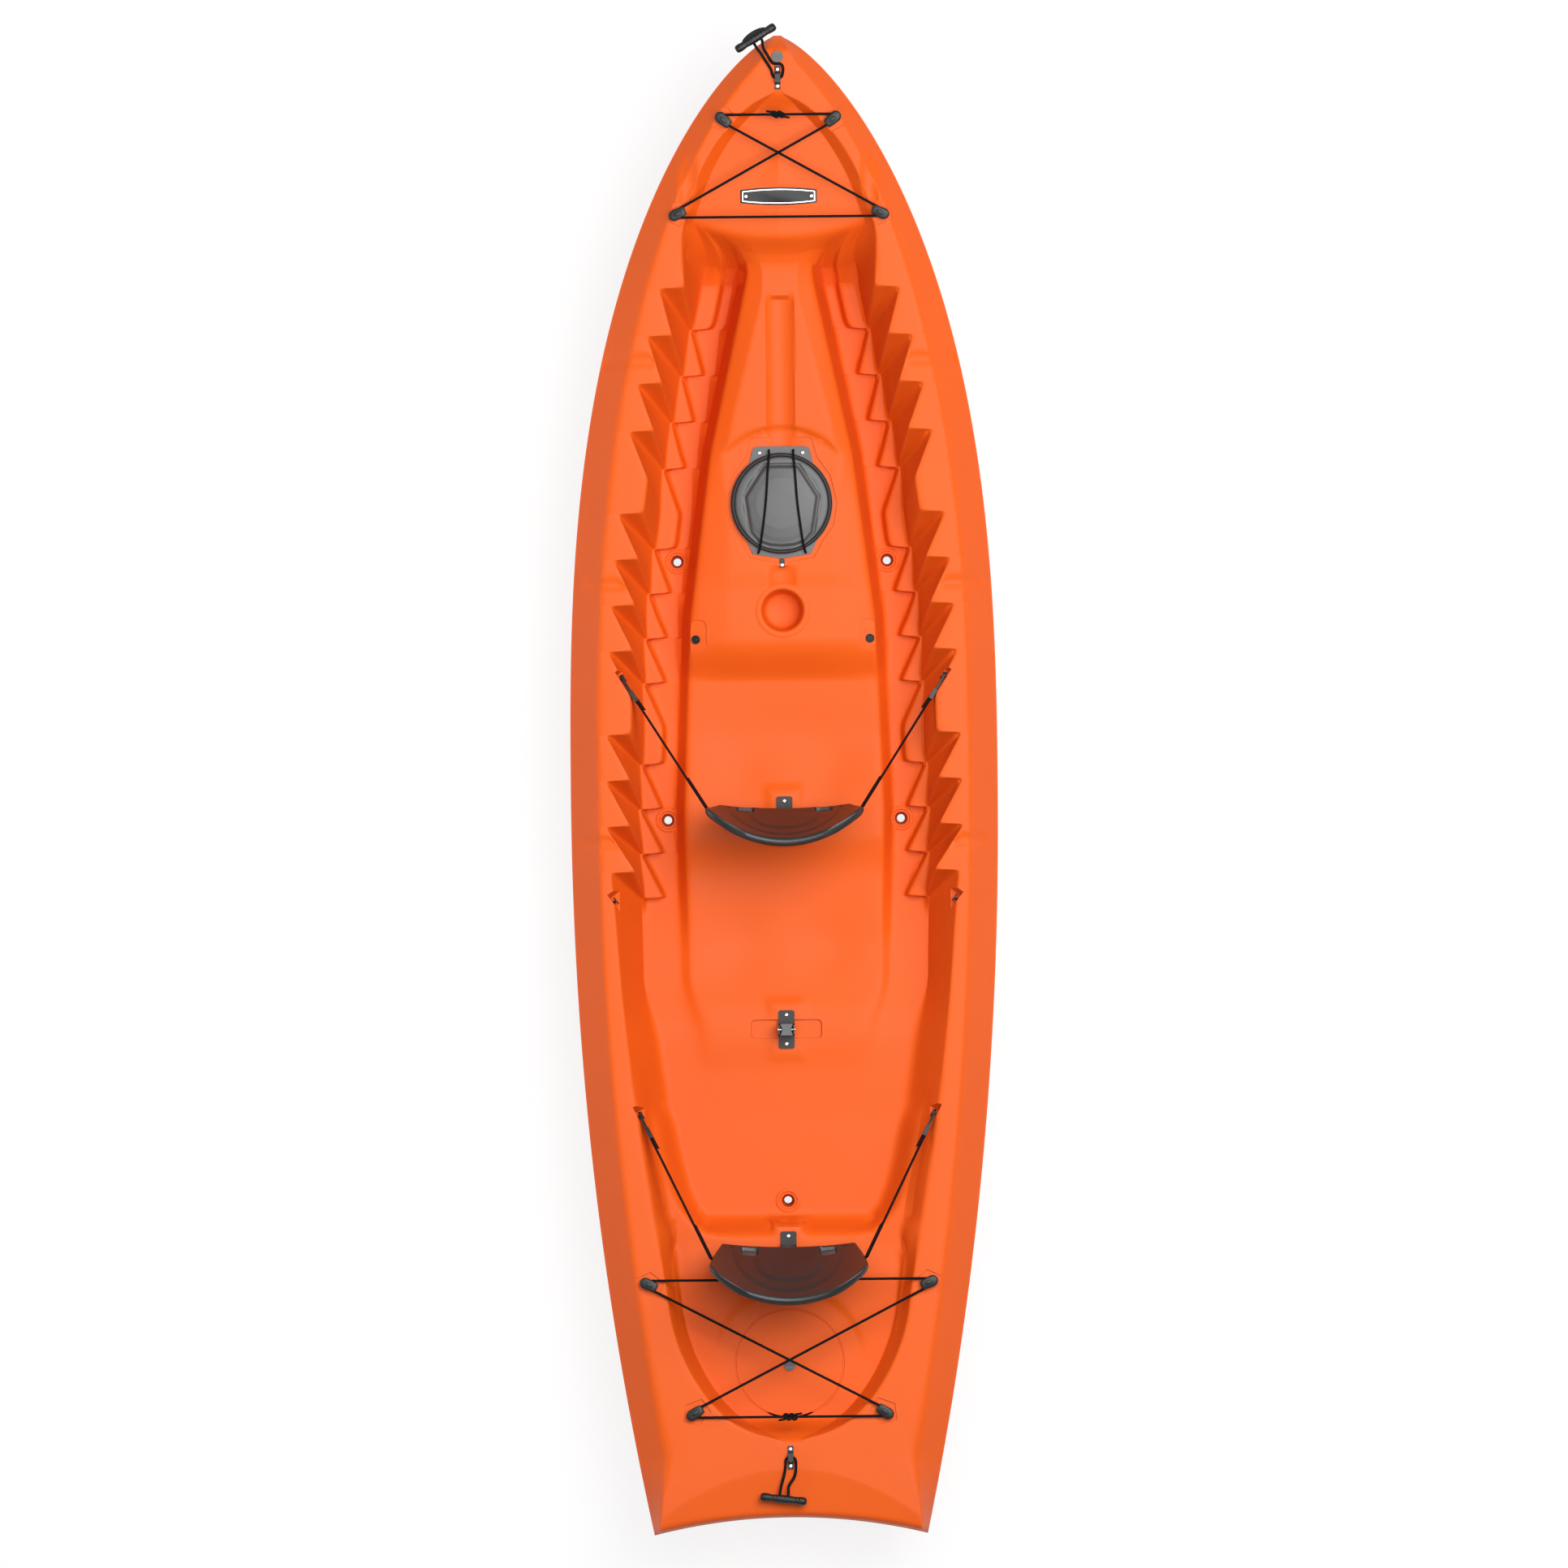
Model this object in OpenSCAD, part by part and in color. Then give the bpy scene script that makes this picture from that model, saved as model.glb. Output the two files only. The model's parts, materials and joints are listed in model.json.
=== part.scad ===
// Tandem sit-on-top kayak. Millimetres. +Y is the bow, +X starboard, +Z up.
// The origin is on the line the hull rests on, halfway between bow and stern.

/* [Hull] */
// Length of the moulding from bow tip to stern corners
length = 3200; // [3160:10:3260]
// Greatest width, at the parting line
beam = 914; // [900:2:930]
// Height of the gunwale amidships
side_height = 295; // [290:1:305]
// Height of the gunwale at the bow tip
bow_height = 380; // [370:1:400]
// Height of the gunwale at the stern
stern_height = 330; // [322:1:345]
// Height of the parting line amidships
seam_height = 205; // [190:1:215]
// Skin thickness of the moulding
wall = 4; // [3.5:0.25:4.5]

/* [Cockpit] */
// Height of the footwell floor
floor_height = 115; // [108:1:122]
// Step of the rim at each foot-brace tooth
tooth_depth = 54; // [40:1:56]
// How far aft the foot of the foremost tooth lies from its rim
tooth_slant = 85; // [60:1:90]
// How far aft the foot of the rearmost tooth lies from its rim
rear_tooth_slant = 57; // [50:1:70]
// Height of the low step along the footwell floor
ledge_height = 30; // [20:1:34]
// Depth of the paddle trough in the console
trough_depth = 20; // [10:1:24]
// Bore of a scupper hole
scupper_d = 17; // [15:0.5:20]
// Inside diameter of the cup holder at its mouth
cup_d = 88; // [80:1:92]
// Depth of the cup holder
cup_depth = 62; // [50:1:70]

/* [Hatch] */
// Outside diameter of the hatch lid and of its frame ring
hatch_d = 218; // [212:1:220]
// Clear opening of the hatch frame
hatch_bore_d = 176; // [160:1:180]

/* [Backrests] */
// Width of a backrest across its wings
backrest_w = 342; // [320:2:350]
// Height of a backrest along its own slope
backrest_h = 224; // [210:2:236]
// Thickness of a backrest
backrest_t = 20; // [16:1:22]
// Lean of the front backrest
front_recline = 17; // [12:1:20]
// Lean of the rear backrest
rear_recline = 29; // [24:1:32]
// Diameter of a bracket's hinge pin
hinge_pin_d = 6; // [5:0.5:7]

/* [Deck hardware] */
// Diameter of the shock cord
cord_d = 5.5; // [5:0.1:6]
// Diameter of the handle cord
handle_cord_d = 6; // [5:0.1:6.4]
// Length of a carry handle's grip
grip_l = 99; // [90:1:105]
// Diameter of a carry handle's grip
grip_d = 18; // [16:0.5:20]
// Head diameter of a blind rivet
rivet_d = 9; // [7:0.5:9.5]
// Head diameter of a strap stud
stud_head_d = 17.5; // [16:0.5:19]

/* [Hidden] */
$fn = 48;
orange = [1, 0.40, 0.16];
black = [0.06, 0.06, 0.06];
grey = [0.42, 0.42, 0.42];
charcoal = [0.16, 0.15, 0.15];
aluminium = [0.85, 0.85, 0.86];
bow_y = length / 2;
stern_y = -length / 2;
// Places along the boat are those of the boat as drawn, and move out or in with its length
drawn_length = 3200;
stretch = length / drawn_length;
function stretched(table) = [for (p = table) [p[0] * stretch, p[1]]];

// Plan outline: powers of the distance from amidships
bow_power = 2.65;
bow_root = 0.71;
nose_half_width = 8;
stern_taper = 0.361;
stern_power = 2.08;
stern_notch = 36;
stern_notch_run = 250;
seam_bow_height = bow_height - 45;
seam_stern_height = stern_height - 75;
bow_tip_round = 21;
bow_tip_run = 200;

// Widths of the sloping band above the parting line
band_mid = 61;
band_bow = 47;
band_stern = 10;
band_narrows = 900 * stretch;
band_end_run = 160;
// Least width of the flat gunwale, beside a foot-brace notch
least_gunwale = 14;

// Wells and cockpit along the boat
well_tip = bow_y - 124;
well_lip = 1160 * stretch;
well_half_width = 209;
// Depths of the bow well's floor below the gunwale: at its front, at its lip and where the console starts
well_front_run = 31;
well_front_depth = 29;
well_depth = 39;
well_lip_depth = 46;
console_front_depth = 43;
tank_tip = stern_y + 196;
tank_front = -1086 * stretch;
tank_rear_run = 47;
stern_flat = 60;
tank_half_width = 259;
well_power = 1.6;
well_root = 0.61;
console_front = well_lip + 5;
front_seat_y = -64 * stretch;
middle_seat_y = -522 * stretch;
rear_seat_y = -994 * stretch;
console_rear = middle_seat_y - 68;
seat_z = 150;
front_pad_z = 170;
middle_pad_z = 178;
rear_seat_z = 170;
tank_floor = 240;
hatch_y = 604 * stretch;
hatch_z = 210;
cup_y = hatch_y - 229;
cup_rim_z = 209;
cup_wall = 4;
cup_foot_d = 74;
// Each scupper: place, height of its foot and height of its mouth
scuppers = [
    [225, 482 * stretch, 5, floor_height], [-225, 482 * stretch, 5, floor_height],
    [250, -72 * stretch, 6, floor_height], [-250, -72 * stretch, 6, floor_height],
    [0, -889 * stretch, 22, rear_seat_z - 2]
];
scupper_mouth_r = 14;
scupper_cone = 45;
edge_points = 10;

// Foot-brace teeth: first notch and pitch of each group of four
tooth_groups = stretch * [[1065, 101.5], [585, 98], [113, 98]];
teeth_per_group = 4;
notch_width = 2;
notches = [for (g = tooth_groups, k = [0:teeth_per_group - 1]) g[0] - k * g[1]];
last_notch = min(notches);

function clamp01(t) = min(1, max(0, t));
function ramp(a, b, y) = clamp01((y - a) / (b - a));
function mix(a, b, t) = a + (b - a) * t;
function sort_down(v) = len(v) < 2 ? v :
    let (p = v[floor(len(v) / 2)])
    concat(sort_down([for (x = v) if (x > p) x]), [p], sort_down([for (x = v) if (x < p) x]));

// Lines of the hull as seen from above and from the side
function outline(y) = y > 0
    ? max(nose_half_width, beam / 2 * pow(1 - pow(min(1, y / bow_y), bow_power), bow_root))
    : beam / 2 * (1 - stern_taper * pow(y / stern_y, stern_power));
function rise(y, mid, bow, stern) =
    mid + (y > 0 ? (bow - mid) * pow(y / bow_y, 2) : (stern - mid) * pow(y / stern_y, 2));
function gunwale_z(y) = rise(y, side_height, bow_height, stern_height);
function gunwale_slope(y) = atan(gunwale_z(y + 0.5) - gunwale_z(y - 0.5));
function half_beam(y) = lookup(y, outline_table);
function seam_z(y) = lookup(y, seam_table);
function end_station(v) = v >= bow_y || v <= stern_y;
function notch_shift(x, v) =
    stern_notch * (1 - pow(x / half_beam(v), 2)) * ramp(stern_y + stern_notch_run, stern_y, v);

// Underside: centre tunnel between two flat runners, then round bilges
section_x = [0, 0.06, 0.15, 0.22, 0.30, 0.45, 0.60, 0.76, 0.91, 0.98, 1];
section_z = [0.10, 0.10, 0.085, 0, 0, 0, 0.03, 0.13, 0.38, 0.72, 1];
stem_start = 950;
stem_rise = 235;
stem_power = 2.6;
skeg_start = -1100;
stern_lift = 60;
function keel_z(v) = v > stem_start
    ? stem_rise * pow((v - stem_start) / (bow_y - stem_start), stem_power)
    : v < skeg_start ? stern_lift * pow((skeg_start - v) / (skeg_start - stern_y), 2) : 0;
function hull_point(v, i) =
    let (f = end_station(v) ? i / edge_points : section_x[i], x = f * half_beam(v))
    [x, v + notch_shift(x, v), end_station(v) ? seam_z(v) : mix(keel_z(v), seam_z(v), section_z[i])];

// Lines of the deck: pairs of place along the boat and size there
rim_inset_table = stretched([
    [1160, 45], [1065, 85], [700, 88], [400, 82], [-80, 74], [-200, 85], [-300, 91], [-490, 97], [-630, 103],
    [-880, 118], [-1086, 124]
]);
console_width_table = stretched([[1128, 62], [711, 152], [361, 197], [-55, 213], [-368, 205], [-500, 204]]);
console_wall_run = 20;
floor_gap = 25;
floor_gap_at_notch = 45;
ledge_run = 10;
ledge_width = 20;
crease_table = stretched([
    [1128, 35], [1046, 38], [780, 104], [735, 112], [478, 114], [300, 120], [-500, 130]
]);
wall_run_table = stretched([[1160, 25], [1100, 60], [-490, 60], [-930, 70], [-1000, 30], [-1086, 28]]);
trough_half_width = 31;
trough_front = 1046 * stretch;
hatch_platform_front = hatch_y + 128;
hatch_platform_rear = hatch_y - 148;
cup_ledge_front = hatch_y - 158;
cup_ledge_rear = cup_y - 87;
troughs = [[trough_front, hatch_platform_front + 3], [cup_ledge_front - 2, cup_ledge_front - 22]];
foot_front = 1085 * stretch;
floor_table = concat(
    [[well_tip, gunwale_z(well_tip)],
    [well_tip - well_front_run, gunwale_z(well_tip - well_front_run) - well_front_depth],
    [well_lip + 15, gunwale_z(well_lip + 15) - well_depth], [well_lip, gunwale_z(well_lip) - well_lip_depth]],
    stretched([
        [1085, floor_height], [-180, floor_height], [-420, 150], [-520, 172], [-600, rear_seat_z],
        [-860, rear_seat_z - 2], [-918, rear_seat_z - 2], [-950, tank_floor]]),
    [[tank_tip + tank_rear_run, tank_floor], [tank_tip, gunwale_z(tank_tip)]]);
seat_table = [
    [236 * stretch, seat_z + 8], [100 * stretch, seat_z], [front_seat_y + 54, front_pad_z - 2],
    [front_seat_y + 42, front_pad_z], [front_seat_y - 48, front_pad_z], [-180 * stretch, seat_z + 2],
    [-350 * stretch, seat_z], [middle_seat_y + 82, seat_z + 14], [middle_seat_y + 44, middle_pad_z],
    [middle_seat_y - 48, middle_pad_z], [console_rear, rear_seat_z]
];
console_front_z = gunwale_z(console_front) - console_front_depth;
console_edge_table = concat(
    [[console_front, console_front_z], [1128 * stretch, 240], [foot_front, 230], [hatch_y + 116, 205],
    [hatch_y - 204, 198], [cup_ledge_rear, 192]], seat_table);
console_top_table = concat(
    [[console_front, console_front_z], [1128 * stretch, 252], [foot_front, 246], [hatch_platform_front + 10, 224],
    [hatch_platform_front, hatch_z], [hatch_platform_rear, hatch_z], [cup_ledge_front, 212],
    [cup_ledge_front - 22, cup_rim_z], [cup_ledge_rear, cup_rim_z - 2]], seat_table);
function saw(v) =
    let (passed = [for (n = notches) if (v < n - 1) n])
    len(passed) == 0 ? 0 :
    let (n = min(passed), pitch = [for (g = tooth_groups) if (n <= g[0]) g[1]])
    n == last_notch ? 1 : clamp01(1 - (n - notch_width - v) / (pitch[len(pitch) - 1] - notch_width));
function band(y) = min(
    0.55 * half_beam(y),
    y > 0 ? mix(band_mid, band_bow, ramp(band_narrows, bow_y - band_end_run, y))
    : mix(band_mid, band_stern, ramp(stern_y + band_end_run, stern_y, y)));
function well_curve(half_width, t) = max(nose_half_width, half_width * pow(1 - pow(t, well_power), well_root));
function rim(y, v) = min(
    half_beam(y) - band(y) - min(least_gunwale, 0.2 * (half_beam(y) - band(y))),
    y > well_lip ? well_curve(well_half_width, ramp(well_lip, well_tip, y)) :
    y < tank_tip ? mix(nose_half_width, half_beam(y), ramp(tank_tip, stern_y + stern_flat, y)) :
    y < tank_front ? well_curve(tank_half_width, ramp(tank_front, tank_tip, y)) :
    half_beam(y) - lookup(y, rim_inset_table) - tooth_depth * (1 - saw(v)));

// Share of the footwell section, 0 in the wells and 1 between the foot braces
footwell_front = 1105 * stretch;
footwell_end = -520 * stretch;
slant_end = -420 * stretch;
function footwell(y) = ramp(console_front, footwell_front, y) * ramp(footwell_end, slant_end, y);
// A row of deck points has one place at the rim and one on the floor, farther aft between the teeth
slant_by_rim = [
    [well_lip, 0], [notches[0], tooth_slant], [last_notch, rear_tooth_slant], [slant_end, 0]
];
slant_by_floor = [for (p = slant_by_rim) [p[0] - p[1], p[1]]];
function floor_place(v) = v - lookup(v, slant_by_rim);
function rim_place(y) = y + lookup(y, slant_by_floor);
function in_cockpit(y) = y < well_tip && y > tank_tip;
function on_console(y) = y < console_front && y > console_rear;
function floor_z(y) = in_cockpit(y) ? lookup(y, floor_table) : gunwale_z(y);
function console_edge_z(y) = on_console(y) ? lookup(y, console_edge_table) : floor_z(y);
function console_top_z(y) = on_console(y) ? lookup(y, console_top_table) : floor_z(y);
function trough_z(y) = len([for (t = troughs) if (y < t[0] && y > t[1]) t]) > 0 ? trough_depth : 0;

// Deck section points: centre, trough, crease, console edge, console foot, floor, step, wall foot, rim,
// gunwale edge and parting line
well_share = [0, 0.12, 0.4, 0.6, 0.7, 0.85, 0.93, 1];
wall_foot = 7;
rim_point = 8;
gunwale_point = 9;
function deck_x(i, y, v) =
    let (g = half_beam(y) - band(y), r = rim(y, v), foot = r - min(lookup(y, wall_run_table), 0.35 * r))
    let (ct = lookup(y, console_width_table))
    let (f = ct + console_wall_run + floor_gap + floor_gap_at_notch * saw(v))
    let (cockpit = [
        0, trough_half_width, lookup(y, crease_table), ct, ct + console_wall_run, f, f + ledge_run,
        f + ledge_run + ledge_width])
    i == edge_points ? half_beam(v) : i == gunwale_point ? g : i == rim_point ? r :
    mix(well_share[i] * foot, cockpit[i], footwell(y));
function deck_z(i, y, v, place) =
    i == edge_points ? seam_z(v) : i >= rim_point || !in_cockpit(y) ? gunwale_z(place) :
    i >= 6 ? floor_z(y) + ledge_height * footwell(y) : i >= 4 ? floor_z(y) :
    i == 3 ? console_edge_z(y) : i == 0 ? console_top_z(y) - trough_z(y) : console_top_z(y);
function deck_point(v, i) =
    let (tip = i < edge_points ? bow_tip_round * ramp(bow_y - bow_tip_run, bow_y, v) : 0)
    let (y = (i <= wall_foot ? floor_place(v) : v) - tip)
    let (x = end_station(v) ? i / edge_points * half_beam(v) : deck_x(i, y, v))
    let (shift = notch_shift(x, v))
    end_station(v) ? [x, v + shift, seam_z(v)] : [x, y + shift, deck_z(i, y, v, y + shift)];

tooth_stations = [
    for (g = tooth_groups, k = [0:teeth_per_group - 1])
    let (n = g[0] - k * g[1])
    for (t = concat([n, n - notch_width], k == teeth_per_group - 1 ? [n - g[1]] : [])) t
];
plain_stations = concat(
    [bow_y, bow_y - 8, bow_y - 25, bow_y - 55, bow_y - 90, well_tip + 18, well_tip + 2, well_tip - 12,
    well_tip - well_front_run, well_tip - 60, well_tip - 100, well_lip + 15, console_front - 5,
    trough_front + 2, trough_front - 2, hatch_platform_front + 10, hatch_platform_front, hatch_platform_rear,
    cup_ledge_front, cup_ledge_front - 3, cup_ledge_front - 20, cup_ledge_front - 24, cup_ledge_rear,
    front_seat_y + 54, front_seat_y + 42, front_seat_y - 48, middle_seat_y + 82, middle_seat_y + 44,
    middle_seat_y - 48, console_rear, tank_tip + 70, tank_tip + tank_rear_run, tank_tip + 28, tank_tip + 12, tank_tip,
    stern_y + 140, stern_y + 90, stern_y + 50, stern_y + 22, stern_y],
    stretch * [
        1320, 1250, 1128, 1105, 1085, 236, 150, 64, -230, -290, -350, -420, -520, -660, -750, -830, -860, -918, -950,
        -1010, -1086, -1150, -1220, -1285]);
least_row_gap = 4;
function clear_of_teeth(v) = min([for (t = tooth_stations) abs(v - t)]) > least_row_gap;
deck_stations = sort_down(concat(
    tooth_stations, [for (y = plain_stations) if (clear_of_teeth(rim_place(y))) rim_place(y)]));

// The hull has every deck row near the ends and every few rows between, so both halves share one parting line
end_rows = 8;
hull_row_step = 6;
hull_stations = [for (k = [0:len(deck_stations) - 1])
    if (k < end_rows || k >= len(deck_stations) - end_rows || k % hull_row_step == 0) deck_stations[k]];
outline_table = [for (y = hull_stations) [y, outline(y)]];
seam_table = [for (y = hull_stations) [y, rise(y, seam_height, seam_bow_height, seam_stern_height)]];

// Both halves of the moulding are skins between an outer grid of points and the same grid moved inwards
function mirrored(half) = concat([for (i = [edge_points:-1:1]) [-half[i][0], half[i][1], half[i][2]]], half);
function grid_normal(g, j, i) =
    let (r = len(g) - 1, c = len(g[0]) - 1)
    let (n = cross(g[min(j + 1, r)][i] - g[max(j - 1, 0)][i], g[j][min(i + 1, c)] - g[j][max(i - 1, 0)]))
    n / norm(n);
function on_edge(g, j, i) = i == 0 || i == len(g[0]) - 1 || j == 0 || j == len(g) - 1;
function edge_inside(g, j, i) =
    let (p = g[j][i], half = abs(g[j][0][0]))
    [p[0] * (half - wall) / half, p[1] + (j == 0 ? -wall : j == len(g) - 1 ? wall : 0), p[2]];
function hull_inside(g) = [for (j = [0:len(g) - 1]) [for (i = [0:len(g[0]) - 1])
    on_edge(g, j, i) ? edge_inside(g, j, i) : g[j][i] + wall * grid_normal(g, j, i)]];
// Under the deck each section point moves down and away from the space beside it, and forward at a notch
inside_x = [0, 0, 0, -0.8, -0.8, 0.5, 1, 1, 1, -0.5];
full_offset_rim = 150;
function at_notch(v) = len([for (n = notches) if (v <= n && v >= n - notch_width) n]) > 0;
function deck_inside(g) = [for (j = [0:len(g) - 1]) [for (i = [0:len(g[0]) - 1])
    let (k = abs(i - edge_points), side = i > edge_points ? 1 : -1)
    let (fade = min(1, g[j][edge_points + rim_point][0] / full_offset_rim))
    on_edge(g, j, i) ? edge_inside(g, j, i) : g[j][i] + wall * [
        side * inside_x[k] * fade, k >= 5 && k <= rim_point && at_notch(deck_stations[j]) ? 1 : 0, -1]]];
module between(top, bottom) {
    r = len(top) - 1;
    c = len(top[0]) - 1;
    w = c + 1;
    b = (r + 1) * w;
    points = concat([for (row = top, p = row) p], [for (row = bottom, p = row) p]);
    skins = [for (j = [0:r - 1], i = [0:c - 1])
        let (k = j * w + i)
        each [[k, k + 1, k + w + 1], [k, k + w + 1, k + w],
            [b + k, b + k + w + 1, b + k + 1], [b + k, b + k + w, b + k + w + 1]]];
    ends = [for (i = [0:c - 1])
        let (k = r * w + i)
        each [[i + 1, i, b + i], [i + 1, b + i, b + i + 1],
            [k, k + 1, b + k + 1], [k, b + k + 1, b + k]]];
    sides = [for (j = [0:r - 1])
        let (k = j * w, m = k + c)
        each [[k, k + w, b + k + w], [k, b + k + w, b + k],
            [m + w, m, b + m], [m + w, b + m, b + m + w]]];
    polyhedron(points, concat(skins, ends, sides), convexity = 12);
}
deck_grid = [for (v = deck_stations) mirrored([for (i = [0:edge_points]) deck_point(v, i)])];
hull_grid = [for (v = hull_stations) mirrored([for (i = [0:edge_points]) hull_point(v, i)])];

module hull_shell() color(orange) difference() {
    between(hull_inside(hull_grid), hull_grid);
    for (s = scuppers) translate([s[0], s[1], -20]) cylinder(r = scupper_d / 2 + wall + 0.2, h = 80);
}

// Scupper tubes run through both skins: a straight bore below a cone, with a straight rim in the deck
scupper_rim = 10;
scupper_fit = 0.1;
module scupper_tube(s) translate([s[0], s[1], s[2]]) {
    h = s[3] - s[2];
    cylinder(r = scupper_d / 2 + wall, h = h - scupper_cone);
    translate([0, 0, h - scupper_cone])
        cylinder(r1 = scupper_d / 2 + wall, r2 = scupper_mouth_r + wall, h = scupper_cone - scupper_rim);
    translate([0, 0, h - scupper_rim]) cylinder(r = scupper_mouth_r + wall, h = scupper_rim);
}
module scupper_bore(s) translate([s[0], s[1], s[2]]) {
    h = s[3] - s[2];
    translate([0, 0, -1]) cylinder(d = scupper_d, h = h);
    translate([0, 0, h - scupper_cone]) cylinder(d1 = scupper_d, r2 = scupper_mouth_r, h = scupper_cone + 0.01);
}
module scupper_seat(s) translate([s[0], s[1], s[3] - 3 * wall]) rotate(180 / round_cut)
    cylinder(r = scupper_mouth_r + wall + scupper_fit, h = 5 * wall);
module scupper_tubes() color(orange) for (s = scuppers) difference() {
    scupper_tube(s);
    scupper_bore(s);
}

// The deck skin, thickened from below where a niche or the cup holder goes deeper than the skin
round_cut = 32;
hatch_cut = 44;
under_depth = 150;
niche_front = 66;
niche_reach = 25;
niche_open = 70;
niche_back = 17;
niche_down = 17.2;
niche_up = 60;
hook_pocket_w = 43.6;
hook_pocket_depth = 2.5;
paddle_rests = stretch * [902, 435, -113];
paddle_rest_l = 160;
paddle_rest_inset = 90;
paddle_rest_w = 28;
paddle_rest_depth = 2.5;
skin_share = 0.4;
function lowered(g, by) = [for (row = g) [for (q = row) q - [0, 0, by]]];
module niche(reach, grow) translate([-niche_back - grow, -reach, -niche_down - grow])
    cube([niche_back + niche_front + 2 * grow, reach + grow, niche_down + niche_up]);
module niches(reach, grow) for (port = [false, true]) {
    strap_frame(front_stud, front_end, port) niche(reach, grow);
    strap_frame(middle_stud, middle_end, port) niche(reach, grow);
    strap_frame(rear_stud, rear_end, port) niche(reach, grow);
}
module cup(grow) translate([0, cup_y, cup_rim_z - cup_depth - grow])
    cylinder(d1 = cup_foot_d + 2 * grow, d2 = cup_d + 2 * grow, h = cup_depth + 2 * grow, $fn = round_cut);
hook_pocket_back = 4;
hook_pocket_r = 4;
module hook_pocket(p, c) on_gunwale(p[0], p[1]) rotate(heading(p, c))
    translate([-hook_pocket_back, 0, -hook_pocket_depth]) hull()
        for (a = [0:90:270]) rotate(a) translate([hook_pocket_w / 2, 0, 0])
            cylinder(r = hook_pocket_r, h = niche_up / 2, $fn = 12);
module deck_shell() color(orange) difference() {
    union() {
        between(deck_grid, deck_inside(deck_grid));
        intersection() {
            between(lowered(deck_grid, skin_share * wall), lowered(deck_grid, under_depth));
            union() {
                niches(niche_reach, wall);
                cup(cup_wall);
            }
        }
    }
    niches(niche_open, 0);
    cup(0);
    for (s = scuppers) scupper_seat(s, $fn = round_cut);
    for (p = bow_hooks) hook_pocket(p, bow_lash_middle);
    for (p = stern_hooks) hook_pocket(p, stern_lash_middle);
    for (y = paddle_rests, side = [1, -1])
        translate([side * (half_beam(y) - paddle_rest_inset), y, gunwale_z(y) + niche_up / 2 - paddle_rest_depth])
            cube([paddle_rest_l, paddle_rest_w, niche_up], center = true);
    translate([0, hatch_y, hatch_z - 2 * collar_h])
        cylinder(d = collar_d + 2 * collar_gap, h = 4 * collar_h, $fn = hatch_cut);
    plug_place(true) plug_hole($fn = round_cut);
    plug_place(false) plug_hole($fn = round_cut);
}

// Blind rivets and deck fittings
rivet_h = 2.4;
rivet_flat = 0.8;
module rivet() {
    cylinder(d = rivet_d, h = rivet_flat);
    translate([0, 0, rivet_flat]) cylinder(d1 = rivet_d, d2 = rivet_d * 0.45, h = rivet_h - rivet_flat);
}
module on_gunwale(x, y) translate([x, y, gunwale_z(y)]) rotate([gunwale_slope(y), 0, 0]) children();
module rounded_plate(w, l, h, r) linear_extrude(h) offset(r) square([w - 2 * r, l - 2 * r], center = true);

// Drain plugs
plug_thread_d = 16;
plug_flange_d = 24;
plug_flange_h = 3;
plug_slot_w = 2.5;
plug_slot_depth = 1.3;
plug_thread_l = 14;
plug_thread_gap = 0.3;
seal_h = 1.5;
seat_gap = 0.3;
bow_plug_y = bow_y - 46;
stern_plug_y = tank_tip + 165;
module plug_place(bow) {
    if (bow) on_gunwale(0, bow_plug_y) children();
    else translate([0, stern_plug_y, tank_floor]) children();
}
module drain_plug() {
    difference() {
        union() {
            translate([0, 0, seal_h + seat_gap]) cylinder(d = plug_flange_d, h = plug_flange_h);
            translate([0, 0, -plug_thread_l])
                cylinder(d = plug_thread_d, h = plug_thread_l + seal_h + seat_gap + 1);
        }
        translate([-plug_flange_d, -plug_slot_w / 2, seal_h + seat_gap + plug_flange_h - plug_slot_depth])
            cube([2 * plug_flange_d, plug_slot_w, 2 * plug_slot_depth]);
    }
}
module plug_seal() translate([0, 0, seat_gap]) difference() {
    cylinder(d = plug_flange_d - 2, h = seal_h);
    translate([0, 0, -1]) cylinder(d = plug_thread_d + 2 * plug_thread_gap, h = seal_h + 2);
}
module plug_hole() translate([0, 0, -2 * plug_thread_l])
    cylinder(d = plug_thread_d + 2 * plug_thread_gap, h = 4 * plug_thread_l);
module bow_plug() color(grey) plug_place(true) drain_plug();
module stern_plug() color(grey) plug_place(false) drain_plug();
module bow_plug_seal() color(black) plug_place(true) plug_seal();
module stern_plug_seal() color(black) plug_place(false) plug_seal();

// Hatch
frame_h = 4;
collar_d = 192;
collar_h = 16;
collar_gap = 0.5;
gasket_h = 3;
gasket_w = 7;
gasket_inset = 5;
lid_skirt = 10;
lid_dome = 12;
lid_t = 3;
tab_y = 110;
tab_half_w = 50;
tab_r = 12;
tab_root = 75;
frame_wing = [[84, -60], [62, -108]];
tab_rivets = [[46, 108], [-46, 108]];
tether_y = -132;
tether_w = 11;
tether_l = 19;
tether_t = 3;
lid_z = hatch_z + frame_h + gasket_h;
module hatch_frame() color(grey) translate([0, hatch_y, hatch_z]) difference() {
    union() {
        cylinder(d = hatch_d, h = frame_h);
        translate([0, 0, -collar_h]) cylinder(d = collar_d, h = collar_h + 1);
        linear_extrude(frame_h) hull() {
            for (side = [1, -1]) translate([side * tab_half_w, tab_y]) circle(tab_r);
            square([2 * tab_root, tab_y], center = true);
        }
        linear_extrude(frame_h) polygon(concat(frame_wing, [[0, -118]], [
            for (k = [len(frame_wing) - 1:-1:0]) [-frame_wing[k][0], frame_wing[k][1]]]));
    }
    translate([0, 0, -collar_h - 1]) cylinder(d = hatch_bore_d, h = collar_h + frame_h + 2);
}
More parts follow.
